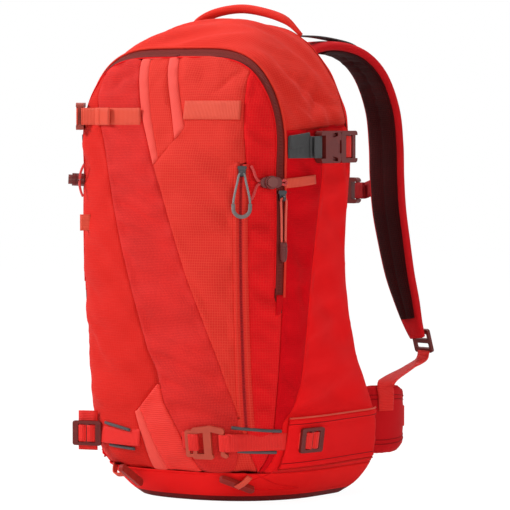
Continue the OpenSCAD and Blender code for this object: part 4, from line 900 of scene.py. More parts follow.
bigPanels = [("left", None, leftPanelEdge, 506, 120, 26, 1.15, (3, 70, 0.7), 0.7),
             ("diagonal", curve["left"], curve["diagonal"], 512, 130, 26, 1.15, (5, 44, 1.0), 1.0),
             ("centre", centreLeft, curve["zipLeft"], 519, 140, 34, 1.2, (8, 62, 0.9), 1.0),
             ("right", curve["zipRight"], None, 514, 130, 18, 1.1, (9, 36, 0.8), 1.2)]
for name, left, right, high, rows, columns, crowd, slack, puff in bigPanels:
    piece = frontPatch(name + "Panel", left, right, lowZ, high, cloth[name], rows, columns, folds=frontFolds[name],
                       slack=slack, puff=puff, crowd=crowd, rollLow=True, blended=True)
    if name == "centre":
        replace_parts(piece, "front_flap")
        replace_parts(piece, "front_lower_panel")


def aboveVee(edge, top):  # an edge of a stripe, cut off along the vee under this height
    return lambda z: np.minimum(curve[edge](z), np.where(z < top, curve["vee"](z) + 2, 999))


frontPatch("stripeLeftBand", curve["diagonal"], aboveVee("stripeOne", 999), 391, 515, cloth["stripe"], 50, 12,
           body=flap, raised=1.0, sink=1.6, slack=(11, 50, 0.2))
frontPatch("stripeChannel", curve["stripeOne"], aboveVee("stripeTwoLeft", 437), 399, 518, cloth["centre"], 50, 12,
           body=flap, slack=(12, 50, 0.3), sink=0.8, puff=0.3)
frontPatch("stripeRightBand", curve["stripeTwoLeft"], aboveVee("stripeTwoRight", 437), 421, 519, cloth["stripe"], 50,
           12, body=flap, raised=1.4, sink=2.0, slack=(13, 50, 0.2))
frontPatch("mitredBand", lambda z: np.where(z > 110, curve["bandTop"](z), curve["bandLeft"](z)), curve["left"], lowZ,
           138, cloth["band"], 50, 14, raised=1.1, slack=(14, 60, 0.4), sink=1.4, rollLow=True)
frontPatch("baseStripe", lambda z: np.where(z > 106, curve["bandTop"](z), curve["stripeLeft"](z)), curve["bandLeft"],
           lowZ, 110, cloth["stripe"], 40, 8, raised=0.9, slack=(15, 60, 0.2), sink=1.2, rollLow=True)
print("front panels made")


# pocket zip

pocketZip = {"x": 107.4, "low": 88, "high": 392, "tape": 5.0, "welt": 5.6, "weltOut": 4.6}


def frontStrip(name, x, high, width, lift, thick, material, crown=0.0):  # x is the middle of the strip
    z = np.linspace(pocketZip["low"], high, 80)
    t = np.linspace(-1, 1, 7)
    flat = onFront(x + t * width / 2, z[:, None], 0)
    grid = flat + (lift + crown * (1 - t**2))[:, None] * gridNormals(flat)
    piece = shell(name, grid, weaveAt(t * width / 2, alongFront(z)[:, None]), [material], thick, None)
    overFold(piece)
    return piece


zipStrip = frontStrip("pocketZipTape", pocketZip["x"], pocketZip["high"], pocketZip["tape"], 0.7, 1.2,
                      cordCloth["pocketZip"])
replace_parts(zipStrip, "pocket_zip_upper")
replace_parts(zipStrip, "pocket_zip_lower")
for label, way, higher in (("Left", -1, 2), ("Right", 1, 0)):
    frontStrip("pocketWelt" + label, pocketZip["x"] + way * pocketZip["weltOut"], pocketZip["high"] + higher,
               pocketZip["welt"], 0.9, 2.0, cloth["centre"], crown=0.9)
print("pocket zip made")


# arch zip

def archLine(y, d=0.0, low=240):  # from the right foot of the zip over the top to the left foot
    z = np.linspace(low, bag["dome"], 26, endpoint=False)
    right = np.stack([sideX(y, z, d), np.full(len(z), float(y)), z], -1)
    return np.concatenate([right, domePoint(np.linspace(0, math.pi, 121), y, d), right[::-1] * (-1, 1, 1)])


def archTape():
    t = np.linspace(0, 1, 9)
    front, back = zipFrontY + 0.4, zipBackY - 0.4
    ys = front + (back - front) * t
    grid = np.stack([archLine(y, 0, 222) for y in ys], 1)
    grid = grid + (0.7 * (1 - (2 * t - 1) ** 2) - 0.5)[:, None] * gridNormals(grid)
    weave = weaveAt(ys - (front + back) / 2, lengths(grid[:, len(t) // 2])[:, None])
    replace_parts(shell("archZipTape", grid, weave, [cordCloth["zip"]], 1.4), "arch_zip")


def zipGarage():  # a tab sewn over the zip's right foot
    z = np.linspace(243, 220, 12)
    path = onSide(zipY + 0 * z, z, 0.6 + 0.5 * ease((z - 222) / 8))
    strap("zipGarageRight", path, (0, 1, 0), 12, cloth["side"], crown=0.4)


archTape()
tube("archPipingHood", archLine(zipBackY + 0.9, -0.3), 1.5, cloth["piping"], sides=8)
tube("archPipingFlap", archLine(zipFrontY - 0.6, -0.1, low=251), 0.9, cloth["right"], sides=8, body=flap)
zipGarage()
print("arch zip made")


# hood, sides, back and base

hoodSeam = {"z": 428, "rise": 9, "bulge": 4.5}


hoodFolds = [(-30, 508, 24, 462, 5, -1.2), (-34, 492, 2, 452, 4.5, 0.9), (-22, 526, 44, 486, 6, -0.9),
             (-2, 474, 52, 456, 5, -1.1), (-32, 470, -6, 444, 4, -1.1), (10, 504, 70, 478, 8, 0.8),
             (-12, 488, 30, 444, 4.5, 0.9), (-34, 540, 10, 528, 7, -0.7)]


def hoodPiece():
    ys = zipBackY + 0.3 + (domeEdgeY - 0.6 - zipBackY) * crowded(40, 0.6)
    share = (ys - ys[0]) / (ys[-1] - ys[0])
    hem = hoodSeam["z"] + hoodSeam["rise"] * share
    start = np.arctan2(hem - bag["dome"], sideX(ys, hem))
    t = start + (math.pi - 2 * start) * np.linspace(0, 1, 150)[:, None]
    grid = domePoint(t, np.broadcast_to(ys, t.shape))
    n = gridNormals(grid)
    along = lengths(grid[:, 20])[:, None]
    fromHem = np.minimum(along, along[-1] - along)
    edge = np.minimum(ys - ys[0], ys[-1] - ys)
    h = seamEdge(edge, 1.0, 0.8) + seamEdge(fromHem, 2.2, 0)
    h = h + hoodSeam["bulge"] * np.exp(-((fromHem - 11) / 12) ** 2) * np.sin(math.pi * share)
    h = h + creases(ys, grid[..., 2], hoodFolds)
    # cloth gathered behind the zip, where the hood turns down to the side buckles
    turnSide = np.where(t < math.pi / 2, np.degrees(t), 180 - np.degrees(t))
    shoulder = np.exp(-((turnSide - 34) / 13) ** 2) * np.exp(-((ys - 10) / 26) ** 2)
    h = h + shoulder * 1.6 * np.sin(along * 2 * math.pi / 31 - 0.16 * ys + 0.8)
    h = h + np.clip(edge / 8, 0, 1) * ripples(along, ys, 21, 60, 0.8)
    grid, weave = turnedUnder(grid + h[..., None] * n, n, weaveAt(ys, along))
    piece = shell("hoodPanel", grid, weave, [cloth["hood"], cloth["lining"]], 1.4)
    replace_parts(piece, "hood")
    around = np.linspace(0.02, math.pi - 0.02, 130)
    tube("hoodRearPiping", domePoint(around, domeEdgeY + 0.2, 0.1), 0.7, cloth["hood"], sides=8)
    # a facing inside the rear seam and a tape inside each hem, so that no light comes through
    facing = np.stack([domePoint(around, domeEdgeY + 0.2, inward) for inward in (0.8, 3.0, 6.0, 10.0)], 1)
    shell("hoodRearFacing", facing, facing[..., [0, 2]] / 1000, [cloth["lining"]], 0.8)
    for label, m in bothSides:
        strap("hemTape" + label, put(m, domePoint(start, ys, 2.4)), (0, 0, 1), 14, cloth["side"], thick=0.8)


hoodPiece()

sideSeam = lineTable([(430, 12), (372, 8), (357, 5), (278, -8), (239, -13), (176, -19), (140, -23), (112, -32),
                      (96, -44), (36, -49)])
sideFolds = [(-40, 398, 20, 372, 12, -1.6), (-44, 372, 0, 340, 12, 1.2), (-30, 330, -20, 230, 14, -1.2),
             (-42, 300, -26, 180, 8, 1.0)]
sideLightFolds = [(6, 350, 60, 300, 12, -1.2), (-4, 300, 60, 236, 16, 1.4), (-6, 250, 70, 180, 14, -1.5),
                  (-10, 200, 90, 130, 16, 1.6), (0, 140, 100, 100, 12, -1.4), (50, 400, 60, 330, 8, 0.9)]


def sidePatch(name, front, back, high, material, m, folds, slack, columns=26):
    z = np.linspace(lowZ, high, 110)
    y0, y1 = front(z)[:, None], back(z)[:, None]
    y = y0 + (y1 - y0) * crowded(columns)
    z2 = np.broadcast_to(z[:, None], y.shape)
    grid = onSide(y, z2)
    n = gridNormals(grid)
    across, width, edge = edges(grid)
    h = puckers(edge, z2, 16, 29, slack[0]) + seamEdge(edge, 1.1, 0.7) * np.clip(width / 4, 0, 1)
    loose = np.clip(edge / 9, 0, 1) * np.clip(width / 14, 0, 1) * ease((z2 - 98) / 16)
    h = h + loose * (creases(y, z2, folds) + ripples(y, z2, *slack))
    h = h + seamEdge(z2 - lowZ, 0.5, 0) + seamEdge(high - z2, 2.0, 0)
    grid, weave = turnedUnder(grid + h[..., None] * n, n, weaveAt(y0 + across, z2))
    return shell(name, put(m, grid), weave, [material, cloth["lining"]], 1.4, flip=m[0, 0] < 0)


for label, m in bothSides:
    hemHigh = hoodSeam["z"] + 5
    sidePatch("sidePocket" + label, lambda z: zipBackY + 0.3 + 0 * z, sideSeam, hemHigh, cloth["side"], m, sideFolds,
              (31, 60, 0.9))
    # the rear panel takes the lighter cloth: painted highlight towards the side's rear edge
    outer = sidePatch("sidePanel" + label, sideSeam, lambda z: rearEdgeY(z) - 0.2, hemHigh + 3, cloth["sidePaintedHighlight"], m,
                      sideLightFolds, (32, 70, 0.9), columns=36)
    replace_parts(outer, "side_panel_" + label.lower())


def backPatch(name, left, right, high, material, rows, columns, thickness=1.6, relief=None):
    z = lowZ + (high - lowZ) * (1 - (1 - np.linspace(0, 1, rows)) ** 1.3)
    z2, a0, a1 = z[:, None], left(z)[:, None], right(z)[:, None]
    grid = backPoint(a0 + (a1 - a0) * crowded(columns), z2)
    across, _, edge = edges(grid)
    x = grid[..., 0]
    h = seamEdge(edge, 1.0, 0.7) + np.clip(edge / 9, 0, 1) * ripples(x, z2, 41, 60, 0.4)
    if relief:
        h = h + relief(x, z2) * np.clip(edge / 6, 0, 1)
    grid = grid - h[..., None] * gridNormals(grid)
    return shell(name, grid, weaveAt(x[:, :1] + across, z2), [material, cloth["lining"]], thickness, flip=True)


# the height at which the back comes forward to the dome's rear edge
backHeights = np.linspace(520, 558, 400)
rearTop = float(backHeights[np.argmin(np.abs(backY(backHeights) - (domeEdgeY + 0.6)))])
gussetInner = 0.88


def reachBack(z):
    y = np.where(z > bag["dome"], domeEdgeY, rearEdgeY(z)) + 0.3
    return reachAngle(y, z)


def gussetAngle(z):
    return np.minimum(math.asin(gussetInner ** (bag["square"] / 2)), reachBack(z) * 0.98)


for label, turned in (("Right", 1), ("Left", -1)):
    outerEdge, innerEdge = (lambda z, k=turned: k * reachBack(z)), (lambda z, k=turned: k * gussetAngle(z))
    pair = (innerEdge, outerEdge) if turned > 0 else (outerEdge, innerEdge)
    backPatch("backGusset" + label, *pair, rearTop, cloth["sidePaintedHighlight"], 120, 14)


def channels(x, z):  # airflow channels pressed into the foam
    h = -3.0 * np.exp(-(x / 9) ** 2) * ease((470 - z) / 30) * ease((z - 140) / 20)
    for level in (462, 186, 150):
        h = h - 2.2 * np.exp(-((z - level) / 5) ** 2)
    return h


backPiece = backPatch("backFoam", lambda z: -gussetAngle(z), gussetAngle, rearTop - 2, cloth["backFoam"], 130, 50,
                      thickness=6.0, relief=channels)
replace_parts(backPiece, "back_panel")
for label, m in bothSides:
    z = np.linspace(60, rearTop - 8, 100)
    tube("backPiping" + label, put(m, backPoint(gussetAngle(z), z, -0.5)), 1.5, cloth["base"], sides=8)


swelling = {"voxel": 0.0045, "takenIn": 0.0008, "pressure": 4.0, "quality": 5, "frames": 20}


def swell(piece, cap, weaveOf, press=None):
    # the cover taken in a little, blown up and held within cap mm of its start; press puts the sewn lines in after
    scene, started = bpy.context.scene, time.time()
    work = bpy.data.objects.new("work", piece.data.copy())
    bpy.context.collection.objects.link(work)

    def settled(kind, **values):
        modifier = work.modifiers.new("step", kind)
        for key, value in values.items():
            setattr(modifier, key, value)
        mesh = bpy.data.meshes.new_from_object(work.evaluated_get(bpy.context.evaluated_depsgraph_get()))
        work.modifiers.clear()
        work.data = mesh
        return mesh

    def read(mesh):
        flat = np.empty(len(mesh.vertices) * 3)
        mesh.vertices.foreach_get("co", flat)
        return flat.reshape(-1, 3)

    mesh = settled("REMESH", mode="VOXEL", voxel_size=swelling["voxel"])
    normals = np.empty(len(mesh.vertices) * 3)
    mesh.vertices.foreach_get("normal", normals)
    begin = read(mesh)
    start = begin - normals.reshape(-1, 3) * swelling["takenIn"]
    mesh.vertices.foreach_set("co", start.ravel())
    mesh.update()
    cover = work.modifiers.new("cover", "CLOTH")
    cover.settings.quality = swelling["quality"]
    cover.settings.use_pressure, cover.settings.uniform_pressure_force = True, swelling["pressure"]
    cover.settings.effector_weights.gravity = 0
    cover.point_cache.frame_start, cover.point_cache.frame_end = 1, swelling["frames"]
    for step in range(swelling["frames"]):
        scene.frame_set(step + 1)
    blown = bpy.data.meshes.new_from_object(work.evaluated_get(bpy.context.evaluated_depsgraph_get()))
    move = read(blown) - start
    far = np.linalg.norm(move, axis=1, keepdims=True)
    after = start + move * np.minimum(1, cap / 1000 / np.maximum(far, 1e-9))
    work.modifiers.clear()
    mesh.vertices.foreach_set("co", after.ravel())
    mesh = settled("SUBSURF", levels=1)
    points = read(mesh)
    if press is not None:
        points = press(points * 1000) / 1000
        mesh.vertices.foreach_set("co", points.ravel())
    while mesh.uv_layers:
        mesh.uv_layers.remove(mesh.uv_layers[0])
    setWeave(mesh, weaveOf(points * 1000) / 1000)
    mesh.polygons.foreach_set("use_smooth", [True] * len(mesh.polygons))
    mesh.polygons.foreach_set("material_index", [0] * len(mesh.polygons))
    mesh.update()
    piece.data = mesh
    bpy.data.objects.remove(work)
    scene.frame_set(1)
    print(piece.name, "simulated in", round(time.time() - started, 1), "s,", len(points), "points")


def padPiece(name, x0, x1, z0, z1, depth, grooves, node=None):
    # crowned foam pad under spacer mesh, its border pulled down by the seam
    u, v = np.meshgrid(np.linspace(-1, 1, 44), np.linspace(-1, 1, 70))
    middleX, middleZ = (x0 + x1) / 2, (z0 + z1) / 2
    x, z = middleX + (x1 - x0) / 2 * np.sign(u) * np.abs(u) ** 0.92, middleZ + (z1 - z0) / 2 * v
    cornerCut = 1 - 0.045 * (np.abs(u) ** 6) * (np.abs(v) ** 6)
    x, z = middleX + (x - middleX) * cornerCut, middleZ + (z - middleZ) * cornerCut
    rise = depth(x, z) * (1 - np.abs(u) ** 7) * (1 - np.abs(v) ** 9)
    for groove in grooves:
        rise = rise + creases(x, z, [(*groove, 3.2, -1.6)]) * (1 - np.maximum(np.abs(u), np.abs(v)) ** 6)
    grid = np.stack([x, rearY(x, z) + 1.6 + np.maximum(rise, 0.3), z], -1)
    piece = shell(name, grid, weaveAt(x, z), [cloth["backMesh"], cloth["backFoam"]], 7.0,
                  flip=True)

    def press(p):
        sewn = creases(p[:, 0], p[:, 2], [(*g, 2.6, -1.2) for g in grooves])
        return p + np.stack([0 * sewn, sewn * (p[:, 1] > rearY(p[:, 0], p[:, 2]) + 3), 0 * sewn], 1)
    swell(piece, 2.5, lambda p: p[:, [0, 2]], press)
    if node:
        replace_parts(piece, node)
    rim = np.concatenate([grid[0], grid[1:, -1], grid[-1, -2::-1], grid[-2:0:-1, 0]])
    tube(name + "Binding", rim, 1.5, cloth["base"], sides=6, closed=True)


pad = {"inner": 16, "outer": 98, "low": 198, "high": 450, "deep": 8.5, "grooves": (262, 322, 382), "slant": 14}


def padDepth(x, z):
    return pad["deep"] + 0 * x


def lumbarDepth(x, z):
    return np.maximum(bag["back"] + 14 - rearY(x, z) - 2, 4)


padPiece("backPadRight", pad["inner"], pad["outer"], pad["low"], pad["high"], padDepth,
         [(20, z, 96, z + pad["slant"]) for z in pad["grooves"]], "back_pads")
padPiece("backPadLeft", -pad["outer"], -pad["inner"], pad["low"], pad["high"], padDepth,
         [(-96, z + pad["slant"], -20, z) for z in pad["grooves"]])
padPiece("lumbarPad", -111, 111, 47, 138, lumbarDepth, [(-60, 56, -60, 130), (60, 56, 60, 130), (-30, 92, 30, 92)],
         "lumbar_pad")


def bootPiece():
    angles = np.radians(np.linspace(-90, 90, 81))

    def ring(z, d=0.0):
        return np.concatenate([frontPoint(angles, z, d), backPoint(angles[-2:0:-1], z, d)])
    rings = [ring(z) for z in (0.0, 0.8, 2, 4, 7, 11, 16, 22, 28, 33, 36)] + [ring(z, 2.5) for z in (36, 20, 6)]
    # the lowest rows, up to 7 mm above the floor, take the dark maroon as painted shade under the bag
    piece = ringStack("bootShell", np.array(rings), [cloth["boot"], cloth["base"]],
                      faceMaterial=lambda row: 1 if row < 4 else 0)
    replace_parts(piece, "boot")
    tube("bootPiping", frontPoint(angles[:58], 36.2, -0.2), 0.9, cloth["boot"], sides=6)
    z = np.array([36.4, 22, 15, 19, 36, 60])
    a = np.r_[angleAt(np.array([104.0, 112, 120]), z[:3]), reachAngle(np.array([-58.0, -42, -34]), z[3:])]
    a, z = spline(np.stack([a * 100, z, 0 * z], 1), 8)[:, :2].T
    tube("bootSeam", frontPoint(a / 100, z, -0.4), 0.7, cloth["sidePaintedHighlight"], sides=6)


bootPiece()
print("shell made")


# shoulder straps

harness = {"x": 48, "z": 505, "width": 54, "foam": 11}
strapRoute = [(0, 0, 0), (4, 34, 16), (9, 72, 19), (16, 110, 10), (22, 140, -14), (28, 156, -53), (32, 158, -94),
              (36, 154, -134), (40, 153, -174), (46, 155, -214), (52, 159, -254), (57, 167, -287), (61, 173, -312),
              (65, 179, -332)]
strapRoot = np.array([harness["x"], float(backY(harness["z"])) + 6, harness["z"]])
strapPath = spline(strapRoot + np.array(strapRoute), 8)
strapWidth = [(0, 0.9), (0.15, 1), (0.6, 1), (0.78, 0.84), (0.9, 0.62), (1, 0.42)]
strapAcross = np.array([0.978, -0.208, 0])


def shoulderStrap(label, m):
    u, v = sectionFrame(strapPath, strapAcross)
    s = np.linspace(0, 1, len(strapPath))
    half = smoothTable(strapWidth, s) * harness["width"] / 2
    foam = smoothTable([(0, 9), (0.15, 11), (0.8, 11), (1, 7)], s) / 2
    lift = harness["foam"] / 2
    # section of the foam: flat against the lining, crowned outside, thin at the bound edges
    section = [(-1, -0.3), (-1.0, 0.25), (-0.93, 0.68), (-0.78, 0.95), (-0.5, 1.06), (0, 1.12), (0.5, 1.06),
               (0.78, 0.95), (0.93, 0.68), (1.0, 0.25), (1, -0.3), (0.94, -0.8), (0.78, -1.0), (0, -1.0),
               (-0.78, -1.0), (-0.94, -0.8)]
    rings = np.stack([strapPath + q[0] * half[:, None] * u + (q[1] * foam + lift)[:, None] * v for q in section], 1)
    rings = put(m, rings)
    piece = ringStack("shoulderStrap" + label, rings if m[0, 0] > 0 else rings[:, ::-1], [cloth["strap"]])
    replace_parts(piece, "shoulder_strap_" + label.lower())
    # quilted mesh against the shoulder, wrinkled where the strap bends over the top
    i = slice(10, len(strapPath) - 10)
    p, u, v, half = strapPath[i, None], u[i, None], v[i, None], half[i, None] - 4.5
    a = lengths(strapPath[i])[:, None]
    columns = np.array([-1, -0.97, -0.9, -0.75, -0.55, -0.3, -0.08, 0, 0.08, 0.3, 0.55, 0.75, 0.9, 0.97, 1])
    wrinkle = 1.7 * np.sin(a * 2 * math.pi / 15) + 1.0 * np.sin(a * 2 * math.pi / 8.7 + 1)
    wrinkle = wrinkle * np.exp(-((a - 105) / 70) ** 2) * (1 - columns**2)
    depth = 2.6 * (1 - np.abs(columns) ** 8) - 1.1 * np.exp(-(columns / 0.07) ** 2) + wrinkle
    outer = p + (columns * half)[..., None] * u - (0.6 + np.maximum(depth, 0.2))[..., None] * v
    return shell("strapLining" + label, put(m, outer), weaveAt(columns * half, a), [cloth["mesh"]] * 2,
                 1.6, flip=m[0, 0] > 0)


linings = [shoulderStrap(label, m) for label, m in bothSides]
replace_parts(linings[0], "strap_linings")


# hip belt

belt = {"z": 83, "wing": 11, "height": 84, "webbing": 25, "lumbar": 222}
wingRoot = np.array([belt["lumbar"] / 2 + 1.5, float(rearY(belt["lumbar"] / 2, belt["z"])) + belt["wing"] / 2 + 2,
                     belt["z"]])
wingRoute = [(0, 0, 0), (12, 10, 0), (19, 24, 0), (20, 40, 0), (14, 56, 0), (-2, 71, 0), (-24, 81, 0)]
wingPath = spline(wingRoot + np.array(wingRoute), 8)
wingAlong = tangents(wingPath)
wingOut = np.stack([wingAlong[:, 1], -wingAlong[:, 0], 0 * wingAlong[:, 0]], -1)


def wing(label, m):
    s = np.linspace(0, 1, len(wingPath))
    half = smoothTable([(0, 1), (0.3, 1), (0.6, 0.9), (0.85, 0.66), (1, 0.42)], s) * belt["height"] / 2
    thick = smoothTable([(0, 8), (0.15, 11), (0.85, 11), (1, 7)], s) / 2
    section = [(-1, 0), (-0.985, 0.5), (-0.93, 0.9), (-0.8, 1.02), (-0.62, 0.92), (-0.56, 0.78), (-0.5, 0.95),
               (0, 1.12), (0.5, 1.0), (0.58, 0.8), (0.64, 0.98), (0.82, 1.04), (0.94, 0.88), (0.99, 0.45), (1, 0),
               (0.97, -0.7), (0.8, -1), (0, -1.1), (-0.8, -1), (-0.97, -0.7)]
    up = np.array([0, 0, 1.0])
    rings = np.stack([wingPath + q[0] * half[:, None] * up + (q[1] * thick)[:, None] * wingOut for q in section], 1)
    rings = put(m, rings)
    piece = ringStack("beltWing" + label, rings if m[0, 0] < 0 else rings[:, ::-1], [cloth["strap"]])
    swell(piece, 2.0, lambda p: p[:, [1, 2]])
    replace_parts(piece, "belt_wing_" + label.lower())
    rise = (half + 0.3)[:, None] * up
    rim = put(m, np.concatenate([wingPath + rise, (wingPath - rise)[::-1]]))
    tube("beltBinding" + label, onto(piece, rim, 0.2), 1.3, cloth["binding"], sides=6, closed=True)
    i = slice(3, len(wingPath) - 6)
    line = wingPath[i] + (1.06 * thick[i] + 0.2)[:, None] * wingOut[i]
    for q in (0.7, 0.58):
        rise = (q * half[i])[:, None] * up
        route = put(m, np.concatenate([line + rise, (line - rise)[::-1]]))
        tube("beltSeam%s%d" % (label, 100 * q), onto(piece, route, 0.1), 0.6, cloth["redThread"], sides=6)


for label, m in bothSides:
    wing(label, m)


# haul handle

handle = {"y": 74, "z": 541.756}


def haulHandle():
    route = [(-79, 0), (-72, 15), (-46, 27), (-8, 32), (28, 27), (58, 17), (79, 0)]
    path = spline([(x, handle["y"], handle["z"] + z) for x, z in route], 10)
    s = np.linspace(0, 1, len(path))
    half = smoothTable([(0, 5), (0.08, 8), (0.22, 17), (0.78, 17), (0.92, 8), (1, 5)], s) / 2
    thick = smoothTable([(0, 5), (0.08, 6), (0.22, 10), (0.78, 10), (0.92, 6), (1, 5)], s) / 2
    u, v = sectionFrame(path, np.array([0, 1.0, 0]))
    around = np.radians(np.arange(0, 360, 22.5))
    rings = np.stack([path + np.cos(a) * half[:, None] * u + np.sin(a) * thick[:, None] * v for a in around], 1)
    piece = ringStack("haulHandle", rings, [cloth["hood"]], "haul_handle")
    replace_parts(piece, "haul_handle")


haulHandle()
print("harness made")


# webbing

upperRun = {"from": 29, "to": 104, "z": 453.5, "width": 22, "lift": 1.9}


def frontBand():  # the upper strap's right run, laid on the front and leaning with it
    x, z = np.linspace(upperRun["from"], upperRun["to"], 40), upperRun["z"]
    across = np.stack([0 * x, (faceY(x, z + 3) - faceY(x, z - 3)) / 6, 1 + 0 * x], -1)
    strap("upperStrapRight", onFront(x, z, upperRun["lift"]), across, upperRun["width"], web["coral"], body=flap,
          crown=0.3)


frontBand()
# buckle parts by the webbing's width: lengths, and the places of the male's two bars; the rest in millimetres
buckle = {"female": 1.65, "male": 1.35, "bars": (0.38, 0.72), "barIn": 2, "barHigh": 3.4, "barDeep": 4, "gap": 0.3}
foldOut = buckle["barHigh"] / 2 + buckle["gap"] + webThick / 2
foldAhead = buckle["barDeep"] / 2 + buckle["gap"] + webThick / 2


def femaleBar(width):  # from the female's mouth to the bar that its webbing is sewn round
    return buckle["female"] * width - buckle["barIn"]


def maleBar(width):  # from the male's shoulder to the far side of its second bar
    return buckle["bars"][1] * buckle["male"] * width + foldAhead


skiWeb = {"z": 446, "width": 20, "turn": 35, "out": 4.5 + 2.2, "ahead": 3}
skiTurn = math.radians(skiWeb["turn"])
skiOut = np.array([-math.cos(skiTurn), -math.sin(skiTurn), 0])
skiDir = np.array([-math.sin(skiTurn), math.cos(skiTurn), 0])
skiReach = femaleBar(skiWeb["width"])
skiMouth = np.array([-float(sideX(zipY, skiWeb["z"])), zipY, skiWeb["z"]])
skiMouth = skiMouth + skiWeb["out"] * skiOut + skiWeb["ahead"] * skiDir
skiFrame = shift(*skiMouth) @ turn(90, 0, skiWeb["turn"] - 90) @ turn(0, 0, 180)


def run(place, points, width, material, name, body, soft=2):  # webbing along [x, z] in a piece of hardware's frame
    path = put(place, [(p[0], 0, p[1]) for p in points])
    return strap(name, path, place[:3, 1], width, material, body=body, soft=soft, step=1.2)


def fold(legs):  # round a buckle's bar
    return [(-legs, foldOut), (foldAhead, foldOut), (foldAhead, -foldOut), (-legs, -foldOut)]


def threaded(width):  # over both bars of a buckle's male part
    near, far = (bar * buckle["male"] * width for bar in buckle["bars"])
    return [(near, -foldOut), (near, foldOut), (far, foldOut), (far, -foldOut - 0.5)]


def upperSki():
    z = skiWeb["z"]
    skin = onFront(np.linspace(-33, -104, 30), z, 1.9)
    bar = skiMouth - skiReach * skiDir
    path = np.concatenate([skin, [bar - 8 * skiDir - foldOut * skiOut, bar - 2 * skiDir - foldOut * skiOut]])
    first = strap("upperSkiWeb", path, (0, 0, 1), skiWeb["width"], web["coral"], body=flap, crown=0.2)
    second = run(skiFrame @ shift(-skiReach, 0, 0), fold(9), skiWeb["width"], web["coral"], "upperSkiFold", flap)
    # free end folded back on itself and held by the keeper
    x = np.linspace(-76, -99, 14)
    end = onFront(x, z, 4.2 + 1.6 * np.exp(-((x + 76) / 6) ** 2))
    third = strap("upperSkiEnd", end, (0, 0, 1), skiWeb["width"] + 0.5, web["coral"], thick=2.6, body=flap, crown=0.5)
    whole = joined("upperSkiStrap", [first, second, third])
    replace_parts(whole, "upper_ski_strap")
    for k, (x, lift) in enumerate(((-79.5, 6.4), (-93, 6.2))):
        line = [(x, float(faceY(x, z)) - lift, z + d) for d in (-9, 9)]
        stitches("upperSkiStitch%d" % k, line, (0, -1, 0), 2.6, 1.9, 0.45, flap)


upperSki()
tailEnd = buckle["male"] * skiWeb["width"]
tail = run(skiFrame, threaded(skiWeb["width"]) + [(tailEnd + 2, -foldOut), (tailEnd + 8, -1)], skiWeb["width"],
           web["coral"], "upperSkiTail", "ski_male")
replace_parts(tail, "ski_tail")

sideWeb = {"z": 411, "width": 25, "mouthY": 32}
buckleLift = 4.5 + webThick + 1.4


def sideCompression(label, m):
    z, w = sideWeb["z"], sideWeb["width"]
    mouthX = float(sideX(sideWeb["mouthY"], z, -buckleLift))
    place = m @ shift(mouthX, sideWeb["mouthY"], z) @ turn(90, 0, 90)
    barY = sideWeb["mouthY"] - femaleBar(w)
    atBar = place @ shift(-femaleBar(w), 0, 0)
    y = np.linspace(zipBackY + 3, barY - 6, 26)
    skin = put(m, onSide(y, z + 0 * y, 1.6 + 2.2 * ease((y + 44) / 26)))
    leg = put(atBar, [(-3, 0, -foldOut)])
    first = strap("sideWeb" + label, np.concatenate([skin, leg]), (0, 0, 1), w, web["grey"], crown=0.2)
    second = run(atBar, fold(14), w, web["grey"], "sideFold" + label, root)
    # upper layer sewn over the first, towards the zip
    y = np.linspace(zipBackY + 2.5, barY - 12, 16)
    top = put(m, np.stack([sideX(y, z + 8) + 4.2, y, 0 * y + z + 6.5 + 0.12 * (y + 44)], -1))
    third = strap("sideOver" + label, top, (0, -0.1, 1), w * 0.62, web["grey"], crown=0.2)
    whole = joined("sideCompression" + label, [first, second, third])
    end, tailY = buckle["male"] * w, float(rearEdgeY(z)) - 1
    endX = float(sideX(tailY, z)) - mouthX + 1.6
    route = threaded(w) + [(end + 2, -foldOut - 1.4), (tailY - sideWeb["mouthY"], endX)]
    sideTail = run(place, route, w, web["red"], "sideTail" + label, "side_male_" + label.lower())
    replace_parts(sideTail, "side_tail_" + label.lower())
    return whole


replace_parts([sideCompression(label, m) for label, m in bothSides][0], "side_webbings")


def strapTop(i, lift):  # i counts the steps of the frame's own strap, four of this path's points each
    v = sectionFrame(strapPath, strapAcross)[1]
    k = i * 4
    return strapPath[k] + (1.07 * harness["foam"] + lift) * v[k]


sternum = {"z": 354, "width": 20}
sternumEnd = strapTop(14, 1.3)
sternumOut = sternumEnd - 28 * strapAcross + (0, 1, 0)
sternumY = sternumOut[1] + 3


def buckleWeb(kind, label, m, start, barX, y, z, width, material, body):  # to a buckle's bar and round it
    path = spline([*start, (barX + 9, y + foldOut, z), (barX + 1, y + foldOut, z)], 8)
    first = strap(kind + "Run" + label, put(m, path), (0, 0, 1), width, material, body=body)
    place = m @ shift(barX, y, z) @ turn(-90, 180, 0)
    second = run(place, fold(9), width, material, kind + "Fold" + label, body)
    return joined(kind + "Web" + label, [first, second])


def sternumWeb(label, m, barX, body):
    start = [(sternumEnd[0] + 12, sternumEnd[1] - 2, sternum["z"] + 7), (*sternumOut[:2], sternum["z"] + 5)]
    return buckleWeb("sternum", label, m, start, barX, sternumY, sternum["z"], sternum["width"], web["deep"], body)


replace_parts(sternumWeb("Right", np.eye(4), femaleBar(sternum["width"]), root), "sternum_webbing_right")
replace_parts(sternumWeb("Left", mirrorX, maleBar(sternum["width"]), "sternum_male"), "sternum_webbing_left")


def wingFace(i, lift):
    k = min(i * 4, len(wingPath) - 1)
    return wingPath[k] + (belt["wing"] / 2 + lift) * wingOut[k]


wingLast = 12
beltY = wingFace(wingLast, 3)[1] + 9


